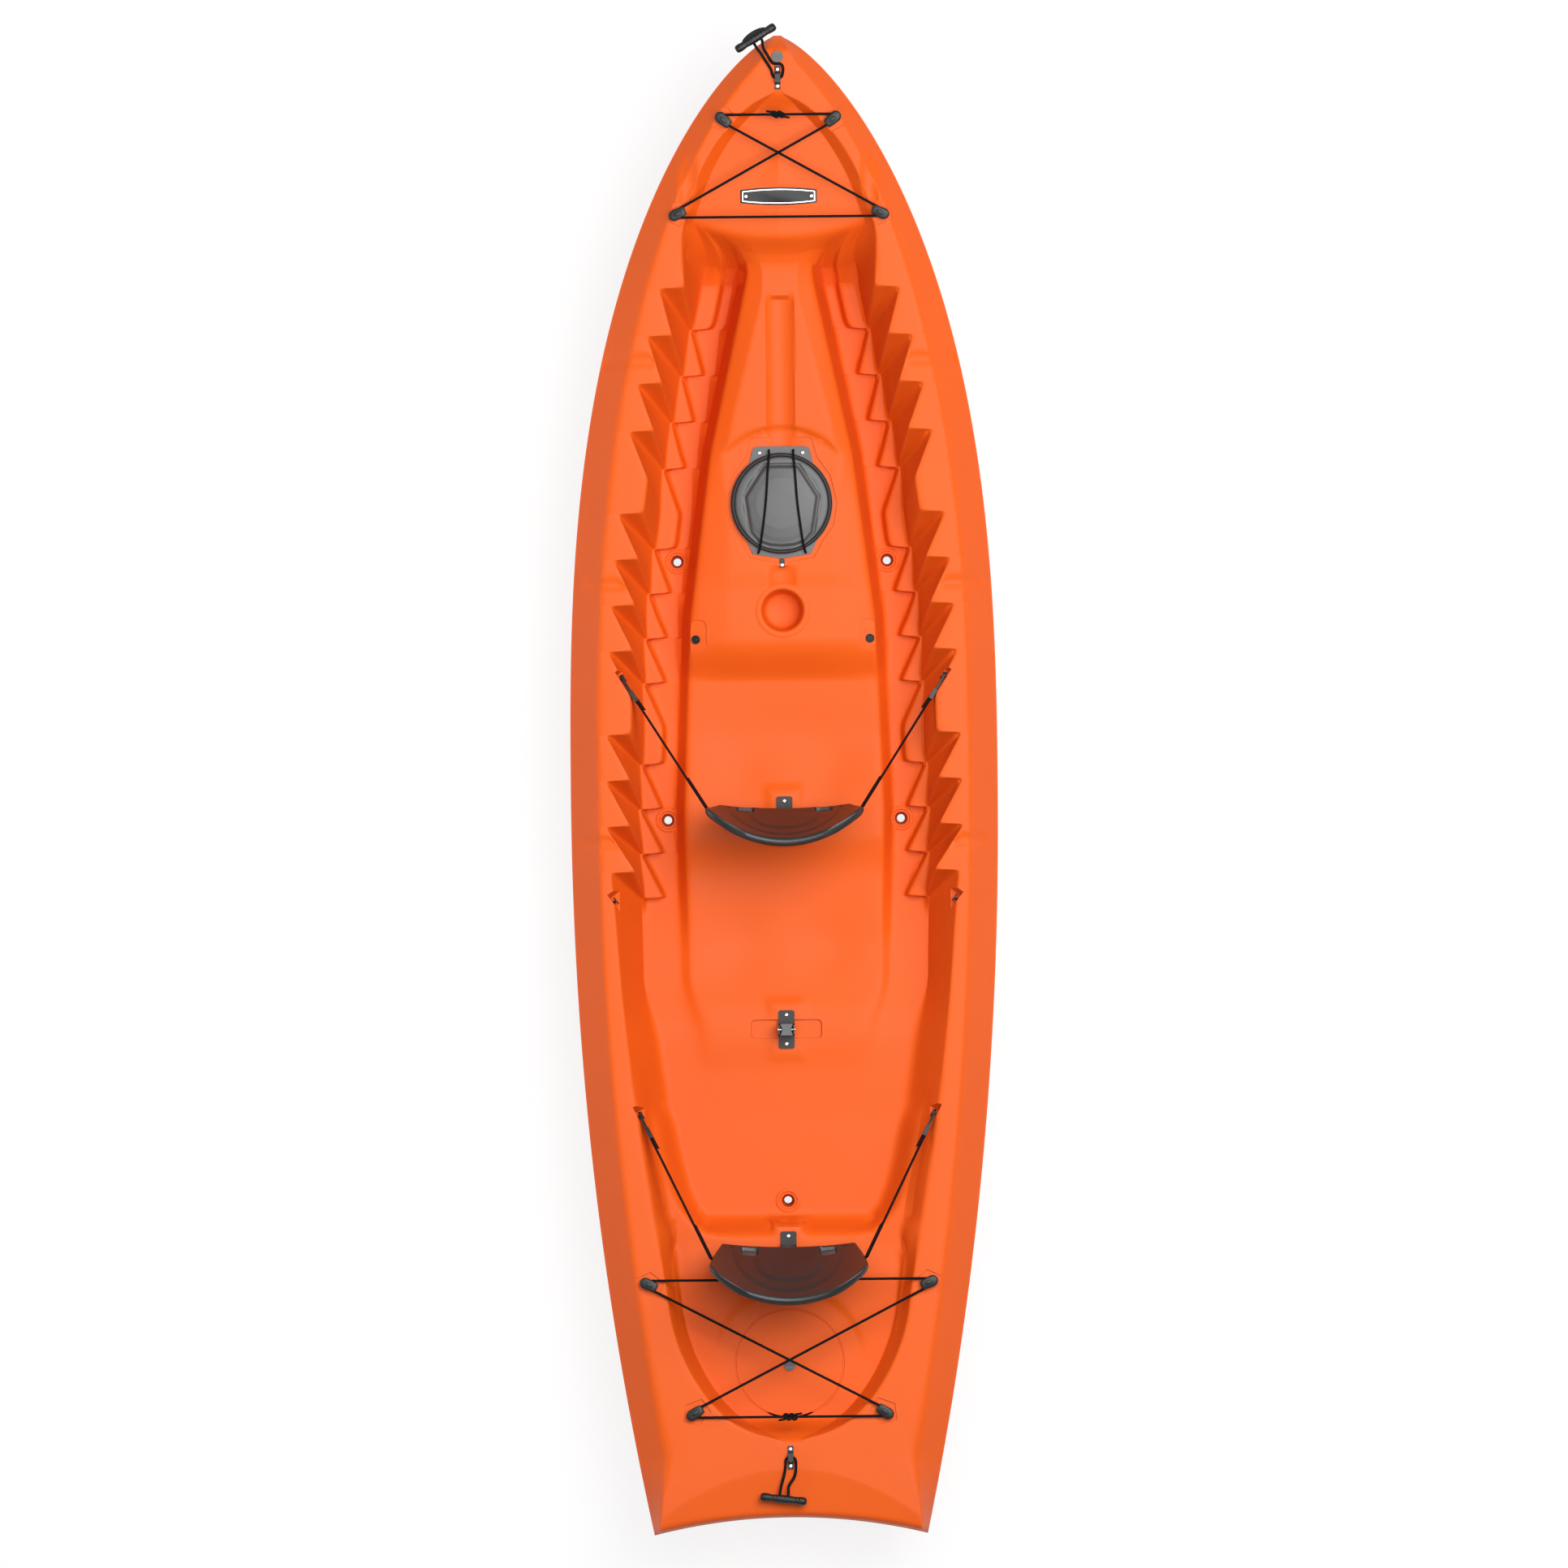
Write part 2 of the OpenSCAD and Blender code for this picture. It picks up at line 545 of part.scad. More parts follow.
module hatch_gasket() color(black) translate([0, hatch_y, hatch_z + frame_h]) difference() {
    cylinder(d = hatch_bore_d + 2 * (gasket_inset + gasket_w), h = gasket_h);
    translate([0, 0, -1]) cylinder(d = hatch_bore_d + 2 * gasket_inset, h = gasket_h + 2);
}
module hatch_lid() color(grey) translate([0, hatch_y, lid_z]) {
    r = hatch_d / 2 - 1;
    rotate_extrude($fn = 96) polygon([
        [0, lid_skirt + lid_dome], [r * 0.5, lid_skirt + lid_dome - 2], [r * 0.8, lid_skirt + lid_dome - 6],
        [r - 4, lid_skirt + 1], [r, lid_skirt - 4], [r, 0], [r - 22, 0], [r - 22, lid_skirt - lid_t],
        [r * 0.5, lid_skirt + lid_dome - 3 - lid_t], [0, lid_skirt + lid_dome - 1 - lid_t]
    ]);
}
// Two elastic cords run over the lid from the frame's tab to its rear wings
lid_cord_d = 5;
lid_cord_route = [
    [26, 114, 5.4], [26, 110, 16], [26, 101, 21.6], [29, 70, 28.2], [34, 0, 31.9], [43, -70, 27.8], [47, -93, 21.6],
    [49, -101, 15.5], [51, -106, 5.4]
];
module hatch_cords() color(black) for (side = [1, -1])
    tube([for (p = lid_cord_route) [side * p[0], hatch_y + p[1], hatch_z + p[2]]], lid_cord_d, 8);
module hatch_rivets() color(aluminium) {
    for (p = tab_rivets) translate([p[0], hatch_y + p[1], hatch_z + frame_h]) rivet();
    translate([0, hatch_y + tether_y, hatch_z + tether_t]) rivet();
}
module hatch_tether() color(black) translate([-tether_w / 2, hatch_y + tether_y - tether_w / 2, hatch_z])
    cube([tether_w, tether_l, tether_t]);

// A cord is one skin swept along its route
function along(route, k) =
    let (a = route[max(k - 1, 0)], b = route[min(k + 1, len(route) - 1)]) (b - a) / norm(b - a);
module tube(route, d, sides) {
    n = len(route);
    points = [for (k = [0:n - 1])
        let (t = along(route, k), u = cross(t, abs(t[2]) > 0.9 ? [1, 0, 0] : [0, 0, 1]))
        let (a = u / norm(u), b = cross(t, a))
        for (s = [0:sides - 1]) route[k] + d / 2 * (a * cos(360 * s / sides) + b * sin(360 * s / sides))];
    skin = [for (k = [0:n - 2], s = [0:sides - 1])
        let (p = k * sides + s, q = k * sides + (s + 1) % sides)
        each [[p, q + sides, q], [p, p + sides, q + sides]]];
    caps = [[for (s = [0:sides - 1]) s], [for (s = [sides - 1:-1:0]) (n - 1) * sides + s]];
    polyhedron(points, concat(skin, caps), convexity = 10);
}
// Points no farther apart than step along straight runs
function subdivided(route, step) = [for (k = [0:len(route) - 1])
    let (a = route[k], b = route[min(k + 1, len(route) - 1)], n = max(1, ceil(norm(b - a) / step)))
    for (i = [0:n - 1]) if (k < len(route) - 1 || i == 0) a + (b - a) * i / n];

// Lashing hooks: a riveted foot, a round post and a lip that keeps the cord down
hook_foot_h = 3;
hook_foot_r = 8;
hook_toe_r = 7;
hook_rivet_back = 15;
hook_post_r = 3;
hook_lip_z = 14;
hook_lip_h = 3;
hook_lip_r = 5;
hook_lip_reach = 5;
hook_lip_end_r = 6.5;
cord_lift = hook_foot_h - hook_pocket_depth + rivet_h + cord_d / 2 + 0.4;
wrap_r = hook_post_r + cord_d / 2 + 1;
bow_hook_front_y = bow_y - 176;
bow_hook_rear_y = well_lip + 60;
stern_hook_front_y = tank_front + 25;
stern_hook_rear_y = tank_tip + 64;
bow_hooks = [
    [120, bow_hook_front_y], [-120, bow_hook_front_y], [220, bow_hook_rear_y], [-220, bow_hook_rear_y]
];
stern_hooks = [
    [303, stern_hook_front_y], [-303, stern_hook_front_y], [206, stern_hook_rear_y], [-206, stern_hook_rear_y]
];
bow_lash_middle = [0, (bow_hook_front_y + bow_hook_rear_y) / 2];
stern_lash_middle = [0, (stern_hook_front_y + stern_hook_rear_y) / 2];
function heading(p, c) = atan2(p[1] - c[1], p[0] - c[0]);
module hook(p, c) color(black) on_gunwale(p[0], p[1]) rotate(heading(p, c))
    translate([0, 0, -hook_pocket_depth]) {
        linear_extrude(hook_foot_h) hull() {
            circle(hook_foot_r);
            translate([-hook_rivet_back, 0]) circle(hook_toe_r);
        }
        cylinder(r = hook_post_r, h = hook_lip_z + 1);
        translate([0, 0, hook_lip_z]) linear_extrude(hook_lip_h) hull() {
            circle(hook_lip_r);
            translate([hook_lip_reach, 0]) circle(hook_lip_end_r);
        }
    }
module hook_rivet(p, c) on_gunwale(p[0], p[1]) rotate(heading(p, c))
    translate([-hook_rivet_back, 0, hook_foot_h - hook_pocket_depth]) rivet();
module hook_rivets() color(aluminium) {
    for (p = bow_hooks) hook_rivet(p, bow_lash_middle);
    for (p = stern_hooks) hook_rivet(p, stern_lash_middle);
}

// The cord turns round each hook's post, from one heading to the next
function turn_by(d1, d2, way) = way > 0 ? (d2 - d1 + 720) % 360 : -((d1 - d2 + 720) % 360);
wrap_steps = 3;
function wrap(p, d1, d2, way) = [for (k = [0:wrap_steps])
    let (a = d1 - 90 * way + turn_by(d1, d2, way) * k / wrap_steps)
    [p[0] + wrap_r * cos(a), p[1] + wrap_r * sin(a), gunwale_z(p[1]) + cord_lift]];
knot_l = 20;
knot_d = 13;
cross_lift = 3.3;
lash_step = 84;
lash_sides = 6;
function knot_place(k, way) = [0, k[1] - way * wrap_r, gunwale_z(k[1]) + cord_lift];
// k and o are the starboard hooks of the knotted run and of the other run
function lash_route(k, o, way) =
    let (k2 = [-k[0], k[1]], o2 = [-o[0], o[1]], d = heading(o2, k), e = heading(k2, o))
    let (a = wrap(k, 0, d, way), b = wrap(o2, d, 0, -way), c = wrap(o, 0, e, -way), f = wrap(k2, e, 0, way))
    let (m = (a[wrap_steps] + b[0]) / 2, n = (c[wrap_steps] + f[0]) / 2, knot = knot_place(k, way))
    subdivided(concat(
        [knot + [knot_l / 2, 0, 0]], a, [m + [0, 0, cross_lift]], b, c, [n - [0, 0, cross_lift]], f,
        [knot - [knot_l / 2, 0, 0]]), lash_step);
module knot(place) translate(place) rotate([0, 90, 0]) {
    translate([0, 0, -knot_l / 2]) cylinder(d1 = cord_d + 3, d2 = knot_d, h = knot_l * 0.3);
    translate([0, 0, -knot_l * 0.2]) cylinder(d = knot_d, h = knot_l * 0.4);
    translate([0, 0, knot_l * 0.2]) cylinder(d1 = knot_d, d2 = cord_d + 3, h = knot_l * 0.3);
}
module bow_lashing() color(black) tube(lash_route(bow_hooks[0], bow_hooks[2], -1), cord_d, lash_sides);
module stern_lashing() color(black) tube(lash_route(stern_hooks[2], stern_hooks[0], 1), cord_d, lash_sides);
module bow_lashing_knot() color(black) knot(knot_place(bow_hooks[0], -1));
module stern_lashing_knot() color(black) knot(knot_place(stern_hooks[2], 1));

// Carry handles: pad eye, cord loop through it and a T grip
bow_eye_y = bow_y - 91;
stern_eye_y = stern_y + 166;
eye_w = 12;
eye_foot_h = 3;
eye_rivet_y = 18;
module pad_eye() rotate([90, 0, 90]) translate([0, 0, -eye_w / 2]) linear_extrude(eye_w) difference() {
    polygon([[-25, 0], [25, 0], [25, eye_foot_h], [12, eye_foot_h], [9.5, 13], [-9.5, 13], [-12, eye_foot_h],
        [-25, eye_foot_h]]);
    polygon([[-7, -1], [7, -1], [6, 9.5], [-6, 9.5]]);
}
module bow_pad_eye() color(black) on_gunwale(0, bow_eye_y) translate([0, 0, seat_gap]) pad_eye();
module stern_pad_eye() color(black) on_gunwale(0, stern_eye_y) translate([0, 0, seat_gap]) pad_eye();
module pad_eye_rivets() color(aluminium) for (y = [bow_eye_y, stern_eye_y], side = [1, -1])
    on_gunwale(0, y) translate([0, side * eye_rivet_y, eye_foot_h + seat_gap]) rivet();
bow_grip = [-46, bow_y - 6, bow_height - 10];
bow_grip_turn = 31.5;
stern_grip = [-16, stern_y + 78, gunwale_z(stern_y + 78) + grip_d / 2 + 0.4];
stern_grip_turn = -7;
grip_hole = 9;
module grip(place, turn) translate(place) rotate(turn) difference() {
    r = grip_d / 2;
    h = grip_l / 2;
    rotate([0, 90, 0]) rotate_extrude() polygon([
        [0, -h], [r * 0.7, -h], [r, -h + 4], [r, -h + 12], [r * 0.82, -h * 0.5], [r, -h * 0.18], [r, h * 0.18],
        [r * 0.82, h * 0.5], [r, h - 12], [r, h - 4], [r * 0.7, h], [0, h]
    ]);
    for (side = [1, -1]) translate([side * grip_hole, 0, 0]) rotate([90, 0, 0])
        translate([0, 0, -grip_d]) cylinder(d = handle_cord_d + 0.4, h = 2 * grip_d);
}
module bow_handle_grip() color(black) grip(bow_grip, bow_grip_turn);
module stern_handle_grip() color(black) grip(stern_grip, stern_grip_turn);
// Cord routes: from the grip round the pad eye and back, from the eye's place. Heights are above the gunwale
function grip_end(place, turn, along, back) =
    place + [along * cos(turn) + back * sin(turn), along * sin(turn) - back * cos(turn), 0];
bow_cord_route = [
    [-30, 64, 2.5], [-21, 48, 4.5], [-13, 34, 5], [-5, 29.4, 5.2], [6, 29.2, 4.9], [11.8, 21.5, 4.2],
    [10.5, 6, 4.4], [6, 0, 5], [-6, 0, 5], [-10.5, 6, 4.4], [-14, 18, 4.1], [-24, 34, 4.4], [-34, 50, 2.9],
    [-43, 62, 0.7]
];
stern_cord_route = [
    [-4, -60, 5.6], [8, -40, 3.9], [11, -22, 4.1], [10.5, -6, 4.8], [6, 0, 5], [-6, 0, 5], [-10.5, -6, 4.8],
    [-11, -18, 4.3], [-14, -36, 4.1], [-20, -58, 5.7]
];
module handle_cord(route, eye, place, turn, back) tube(concat(
    [grip_end(place, turn, grip_hole, 0), grip_end(place, turn, grip_hole, back * 12)],
    [for (p = route) [p[0], eye + p[1], gunwale_z(eye + p[1]) + p[2]]],
    [grip_end(place, turn, -grip_hole, back * 12), grip_end(place, turn, -grip_hole, 0)]), handle_cord_d, 10);
module bow_handle_cord() color(black)
    handle_cord(bow_cord_route, bow_eye_y, bow_grip, bow_grip_turn, 1);
module stern_handle_cord() color(black)
    handle_cord(stern_cord_route, stern_eye_y, stern_grip, stern_grip_turn, -1);

// Bare plate in the bow well and its rivets
plate_w = 163;
plate_l = 38;
plate_t = 2;
plate_y = well_lip + 98;
plate_rivet_x = 70;
plate_slope = atan((floor_z(plate_y + 10) - floor_z(plate_y - 10)) / 20);
module on_plate() translate([0, plate_y, floor_z(plate_y) + seat_gap]) rotate([plate_slope, 0, 0]) children();
module name_plate() color(black) on_plate() rounded_plate(plate_w, plate_l, plate_t, 8);
module name_plate_rivets() color(aluminium) on_plate()
    for (side = [1, -1]) translate([side * plate_rivet_x, 0, plate_t]) rivet();

// Round inserts beside the cup holder, square to the sloping top of the console
insert_d = 19;
insert_h = 4;
insert_x = 187;
insert_y = cup_y - 61;
function console_slope_z(x, y) =
    let (inner = lookup(y, crease_table), outer = lookup(y, console_width_table))
    mix(console_top_z(y), console_edge_z(y), ramp(inner, outer, x));
insert_z = console_slope_z(insert_x, insert_y);
insert_roll = atan(insert_z - console_slope_z(insert_x + 1, insert_y));
insert_pitch = atan(console_slope_z(insert_x, insert_y + 1) - insert_z);
module deck_inserts() color(black) for (side = [1, -1])
    translate([side * insert_x, insert_y, insert_z]) rotate([insert_pitch, side * insert_roll, 0])
        translate([0, 0, seat_gap]) cylinder(d = insert_d, h = insert_h);

// Seat brackets: a riveted base with two cheeks and a cross pin
bracket_w = 34;
bracket_l = 82;
bracket_t = 4;
cheek_t = 2.5;
cheek_l = 28;
bracket_pin_h = 40;
bracket_rivet_y = 31;
pin_head_t = 1.5;
front_seat = [0, front_seat_y, front_pad_z];
middle_seat = [0, middle_seat_y, middle_pad_z];
rear_seat = [0, rear_seat_y, tank_floor];
module seat_bracket() difference() {
    union() {
        rounded_plate(bracket_w, bracket_l, bracket_t, 5);
        for (side = [1, -1]) translate([side * (bracket_w - cheek_t) / 2, 0, bracket_pin_h / 2])
            rotate([90, 0, 90]) translate([0, 0, -cheek_t / 2]) linear_extrude(cheek_t) polygon([
                [-cheek_l / 2, -bracket_pin_h / 2], [cheek_l / 2, -bracket_pin_h / 2],
                [cheek_l / 3, bracket_pin_h / 2 + 6], [-cheek_l / 3, bracket_pin_h / 2 + 6]]);
    }
    translate([0, 0, bracket_pin_h]) rotate([0, 90, 0]) translate([0, 0, -bracket_w])
        cylinder(d = hinge_pin_d + 0.1, h = 2 * bracket_w);
}
module hinge_pin() translate([0, 0, bracket_pin_h]) rotate([0, 90, 0]) {
    translate([0, 0, -bracket_w / 2]) cylinder(d = hinge_pin_d, h = bracket_w);
    for (z = [-bracket_w / 2 - pin_head_t, bracket_w / 2]) translate([0, 0, z])
        cylinder(d = hinge_pin_d + 3, h = pin_head_t);
}
module front_bracket() color(black) translate(front_seat) seat_bracket();
module middle_bracket() color(black) translate(middle_seat) seat_bracket();
module rear_bracket() color(black) translate(rear_seat) seat_bracket();
module front_bracket_pin() color(aluminium) translate(front_seat) hinge_pin();
module middle_bracket_pin() color(aluminium) translate(middle_seat) hinge_pin();
module rear_bracket_pin() color(aluminium) translate(rear_seat) hinge_pin();
module bracket_rivets() color(aluminium) for (seat = [front_seat, middle_seat, rear_seat], side = [1, -1])
    translate(seat + [0, side * bracket_rivet_y, bracket_t]) rivet();
// The empty bracket holds a waisted block on its pin, where a third backrest snaps in
cap_w = 27;
cap_l = 25;
cap_h = 20;
cap_waist = 4;
module middle_bracket_cap() color(grey) translate(middle_seat + [0, 0, bracket_pin_h]) difference() {
    translate([0, 0, -cap_h / 2]) linear_extrude(cap_h) polygon([
        [-cap_w / 2, -cap_l / 2], [cap_w / 2, -cap_l / 2], [cap_w / 2 - cap_waist, 0], [cap_w / 2, cap_l / 2],
        [-cap_w / 2, cap_l / 2], [-cap_w / 2 + cap_waist, 0]]);
    rotate([0, 90, 0]) translate([0, 0, -cap_w]) cylinder(d = hinge_pin_d + 0.1, h = 2 * cap_w);
}

// Backrests: a shell that wraps forward at its wings, more at the top, and a lug on the hinge pin
back_foot_y = 22;
back_foot_z = 15;
wrap_low = 14;
wrap_high = 73;
back_rows = 9;
back_columns = 12;
foot_narrowing = 0.16;
shoulder = 0.72;
lug_w = 26;
lug_r = 9;
function back_half_width(t) = backrest_w / 2 * (1 - foot_narrowing * pow(1 - t, 2))
    * (t < shoulder ? 1 : pow(1 - pow((t - shoulder) / (1.02 - shoulder), 2.6), 0.42));
function back_y(t, share) =
    back_foot_y + mix(wrap_low, wrap_high, t) * pow(share * back_half_width(t) / (backrest_w / 2), 2);
function back_point(t, share, depth) =
    [share * back_half_width(t), back_y(t, share) - depth, back_foot_z + t * backrest_h];
function back_grid(depth) = [for (j = [back_rows:-1:0]) [for (i = [0:back_columns])
    back_point(j / back_rows, 2 * i / back_columns - 1, depth)]];
module backrest() difference() {
    union() {
        between(back_grid(backrest_t), back_grid(0));
        rotate([0, 90, 0]) translate([0, 0, -lug_w / 2]) cylinder(r = lug_r, h = lug_w);
        translate([-lug_w / 2, -4, 0]) cube([lug_w, 16, back_foot_z + 14]);
    }
    rotate([0, 90, 0]) translate([0, 0, -lug_w]) cylinder(d = hinge_pin_d + 0.1, h = 2 * lug_w);
}
module backrest_place(seat, lean) translate(seat + [0, 0, bracket_pin_h]) rotate([lean, 0, 0]) children();
module front_backrest() color(charcoal) backrest_place(front_seat, front_recline) backrest();
module rear_backrest() color(charcoal) backrest_place(rear_seat, rear_recline) backrest();

// Straps: stud on the cockpit wall, clip on the stud, ladder adjuster and webbing to the backrest's wing.
// Each is worked out for starboard, in a frame that starts at the stud and looks along the strap
stud_down = 0.12;
stud_d = 6;
stud_l = 8;
stud_out = 8;
stud_head_t = 2.6;
clip_y = -5;
clip_t = 5;
clip_back = 9;
clip_front = 34;
clip_h = 24;
adjuster_l = 26;
adjuster_t = 9;
adjuster_h = 30;
strap_w = 25;
strap_t = 2;
strap_gap = 3.8;
strap_share = 0.5;
front_stud = 236 * stretch;
middle_stud = -243 * stretch;
rear_stud = -705 * stretch;
function stud_place(v) =
    let (a = deck_point(v, rim_point), b = deck_point(v, wall_foot)) a + (b - a) * stud_down + [stud_out, 0, 0];
function strap_end(seat, lean) =
    let (p = back_point(strap_share, 1, backrest_t / 2))
    seat + [p[0], p[1] * cos(lean) - p[2] * sin(lean), bracket_pin_h + p[1] * sin(lean) + p[2] * cos(lean)];
function side_step(a, b) = let (h = [b[1] - a[1], a[0] - b[0], 0]) h / norm(h);
function strap_start(v, end) = let (s = stud_place(v)) s + side_step(s, end) * -clip_y;
function strap_turn(v, end) = let (d = end - strap_start(v, end)) atan2(d[1], d[0]);
function strap_climb(v, end) = let (d = end - strap_start(v, end)) asin(d[2] / norm(d));
module strap_frame(v, end, port) mirror([port ? 1 : 0, 0, 0]) translate(stud_place(v))
    rotate([0, -strap_climb(v, end), strap_turn(v, end)]) children();
front_end = strap_end(front_seat, front_recline);
rear_end = strap_end(rear_seat, rear_recline);
// A third backrest would lean like the front one
middle_end = strap_end(middle_seat, front_recline);
module stud() rotate([90, 0, 0]) {
    cylinder(d = stud_d, h = stud_l + 0.5);
    translate([0, 0, stud_l]) cylinder(d = stud_head_d, h = stud_head_t);
}
module strap_studs() color(black) for (port = [false, true]) {
    strap_frame(front_stud, front_end, port) stud();
    strap_frame(middle_stud, middle_end, port) stud();
    strap_frame(rear_stud, rear_end, port) stud();
}
module clip() translate([0, clip_y, 0]) rotate([90, 0, 0]) translate([0, 0, -clip_t / 2]) difference() {
    linear_extrude(clip_t) difference() {
        hull() {
            circle(d = clip_h - 4);
            translate([clip_front - 6, -clip_h / 2]) square([6, clip_h]);
        }
        translate([-clip_h, -clip_h]) square([clip_h - clip_back, 2 * clip_h]);
    }
    translate([0, 0, -1]) cylinder(d = stud_d + 0.5, h = clip_t + 2);
}
module adjuster() translate([clip_front + adjuster_l / 2, clip_y, 0]) difference() {
    cube([adjuster_l, adjuster_t, adjuster_h], center = true);
    for (x = [-6, 6]) translate([x, 0, 0]) cube([6, adjuster_t + 2, strap_w + 1], center = true);
}
module strap(v, end) {
    start = clip_front + adjuster_l;
    l = norm(end - strap_start(v, end)) - start - strap_gap;
    translate([start, clip_y - strap_t / 2, -strap_w / 2]) cube([l, strap_t, strap_w]);
}
module front_clip_port() color(black) strap_frame(front_stud, front_end, true) clip();
module front_clip_starboard() color(black) strap_frame(front_stud, front_end, false) clip();
module rear_clip_port() color(black) strap_frame(rear_stud, rear_end, true) clip();
module rear_clip_starboard() color(black) strap_frame(rear_stud, rear_end, false) clip();
module front_adjuster_port() color(black) strap_frame(front_stud, front_end, true) adjuster();
module front_adjuster_starboard() color(black) strap_frame(front_stud, front_end, false) adjuster();
module rear_adjuster_port() color(black) strap_frame(rear_stud, rear_end, true) adjuster();
module rear_adjuster_starboard() color(black) strap_frame(rear_stud, rear_end, false) adjuster();
module front_strap_port() color(black) strap_frame(front_stud, front_end, true) strap(front_stud, front_end);
module front_strap_starboard() color(black) strap_frame(front_stud, front_end, false) strap(front_stud, front_end);
module rear_strap_port() color(black) strap_frame(rear_stud, rear_end, true) strap(rear_stud, rear_end);
module rear_strap_starboard() color(black) strap_frame(rear_stud, rear_end, false) strap(rear_stud, rear_end);

module bow_hook_starboard_front() hook(bow_hooks[0], bow_lash_middle);
module bow_hook_port_front() hook(bow_hooks[1], bow_lash_middle);
module bow_hook_starboard_rear() hook(bow_hooks[2], bow_lash_middle);
module bow_hook_port_rear() hook(bow_hooks[3], bow_lash_middle);
module stern_hook_starboard_front() hook(stern_hooks[0], stern_lash_middle);
module stern_hook_port_front() hook(stern_hooks[1], stern_lash_middle);
module stern_hook_starboard_rear() hook(stern_hooks[2], stern_lash_middle);
module stern_hook_port_rear() hook(stern_hooks[3], stern_lash_middle);

hull_shell();
deck_shell();
scupper_tubes();
bow_plug();
bow_plug_seal();
stern_plug();
stern_plug_seal();
hatch_frame();
hatch_gasket();
hatch_lid();
hatch_cords();
hatch_rivets();
hatch_tether();
bow_hook_port_front();
bow_hook_starboard_front();
bow_hook_port_rear();
bow_hook_starboard_rear();
stern_hook_port_front();
stern_hook_starboard_front();
stern_hook_port_rear();
stern_hook_starboard_rear();
hook_rivets();
bow_lashing();
bow_lashing_knot();
stern_lashing();
stern_lashing_knot();
bow_pad_eye();
bow_handle_cord();
bow_handle_grip();
stern_pad_eye();
stern_handle_cord();
stern_handle_grip();
pad_eye_rivets();
name_plate();
name_plate_rivets();
deck_inserts();
front_bracket();
front_bracket_pin();
middle_bracket();
middle_bracket_pin();
middle_bracket_cap();
rear_bracket();
rear_bracket_pin();
bracket_rivets();
front_backrest();
rear_backrest();
strap_studs();
front_clip_port();
front_clip_starboard();
rear_clip_port();
rear_clip_starboard();
front_adjuster_port();
front_adjuster_starboard();
rear_adjuster_port();
rear_adjuster_starboard();
front_strap_port();
front_strap_starboard();
rear_strap_port();
rear_strap_starboard();
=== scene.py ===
import json
from math import asin, atan, atan2, ceil, copysign, cos, exp, pi, radians, sin, sqrt

import bmesh
import bpy
import numpy as np
from mathutils import Matrix, Vector

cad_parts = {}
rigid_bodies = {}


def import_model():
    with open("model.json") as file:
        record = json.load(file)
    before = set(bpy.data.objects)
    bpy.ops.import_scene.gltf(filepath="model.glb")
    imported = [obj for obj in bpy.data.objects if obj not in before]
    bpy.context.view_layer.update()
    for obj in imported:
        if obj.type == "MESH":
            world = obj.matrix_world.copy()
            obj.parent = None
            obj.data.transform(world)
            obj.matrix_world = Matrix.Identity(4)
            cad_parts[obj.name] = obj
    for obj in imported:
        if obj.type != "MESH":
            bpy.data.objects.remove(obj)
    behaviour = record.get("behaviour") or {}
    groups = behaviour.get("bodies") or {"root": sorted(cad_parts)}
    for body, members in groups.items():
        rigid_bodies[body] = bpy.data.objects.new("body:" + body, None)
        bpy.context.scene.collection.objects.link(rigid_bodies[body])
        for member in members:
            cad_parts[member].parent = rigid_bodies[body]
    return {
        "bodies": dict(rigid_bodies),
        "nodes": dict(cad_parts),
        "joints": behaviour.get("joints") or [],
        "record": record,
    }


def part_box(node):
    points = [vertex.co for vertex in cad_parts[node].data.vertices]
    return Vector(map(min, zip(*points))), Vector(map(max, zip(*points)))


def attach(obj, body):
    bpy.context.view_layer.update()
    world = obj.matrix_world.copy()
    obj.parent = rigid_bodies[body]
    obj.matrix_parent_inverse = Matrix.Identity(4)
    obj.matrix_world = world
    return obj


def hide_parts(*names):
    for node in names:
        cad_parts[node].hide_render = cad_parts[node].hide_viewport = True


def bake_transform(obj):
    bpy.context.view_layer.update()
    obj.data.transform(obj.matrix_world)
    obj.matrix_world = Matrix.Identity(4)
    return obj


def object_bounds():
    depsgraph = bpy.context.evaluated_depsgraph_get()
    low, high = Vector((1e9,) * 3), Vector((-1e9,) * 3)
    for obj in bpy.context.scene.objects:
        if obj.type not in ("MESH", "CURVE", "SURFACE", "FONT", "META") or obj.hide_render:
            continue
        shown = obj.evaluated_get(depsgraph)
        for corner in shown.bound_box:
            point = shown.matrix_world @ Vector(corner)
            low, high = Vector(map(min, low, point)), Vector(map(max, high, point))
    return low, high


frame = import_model()
cad_low, cad_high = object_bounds()
scene = bpy.context.scene

# Sizes and places are in millimetres, in the frame of the CAD model, and become metres in build()
MM = 0.001
BOW = 1600
STERN = -1600
HALF_BEAM = 457
WALL = 4
FLOOR = 115
LEDGE = 30
TOOTH_DEPTH = 54
GROUPS = [(1065, 101.5), (585, 98), (113, 98)]
TEETH = [(start - k * pitch, pitch, k == 3) for start, pitch in GROUPS for k in range(4)]
LAST_NOTCH = TEETH[-1][0]
NOTCH = 2
WELL_TIP = BOW - 124
WELL_LIP = 1160
TANK_TIP = STERN + 196
TANK_FRONT = -1086
TANK_FLOOR = 240
CONSOLE_FRONT = 1165
CONSOLE_REAR = -590
HATCH = (0, 604, 210)
PLATFORM_Z = 214
CUP = (0, 375, 209)
BOWL_FLOOR = 168
SCUPPERS = [(225, 482, FLOOR), (-225, 482, FLOOR), (250, -72, FLOOR), (-250, -72, FLOOR), (0, -889, BOWL_FLOOR)]
BOW_HOOKS = [(120, 1424), (-120, 1424), (220, 1220), (-220, 1220)]
STERN_HOOKS = [(303, -1061), (-303, -1061), (206, -1340), (-206, -1340)]
BOW_MIDDLE = (0, 1322)
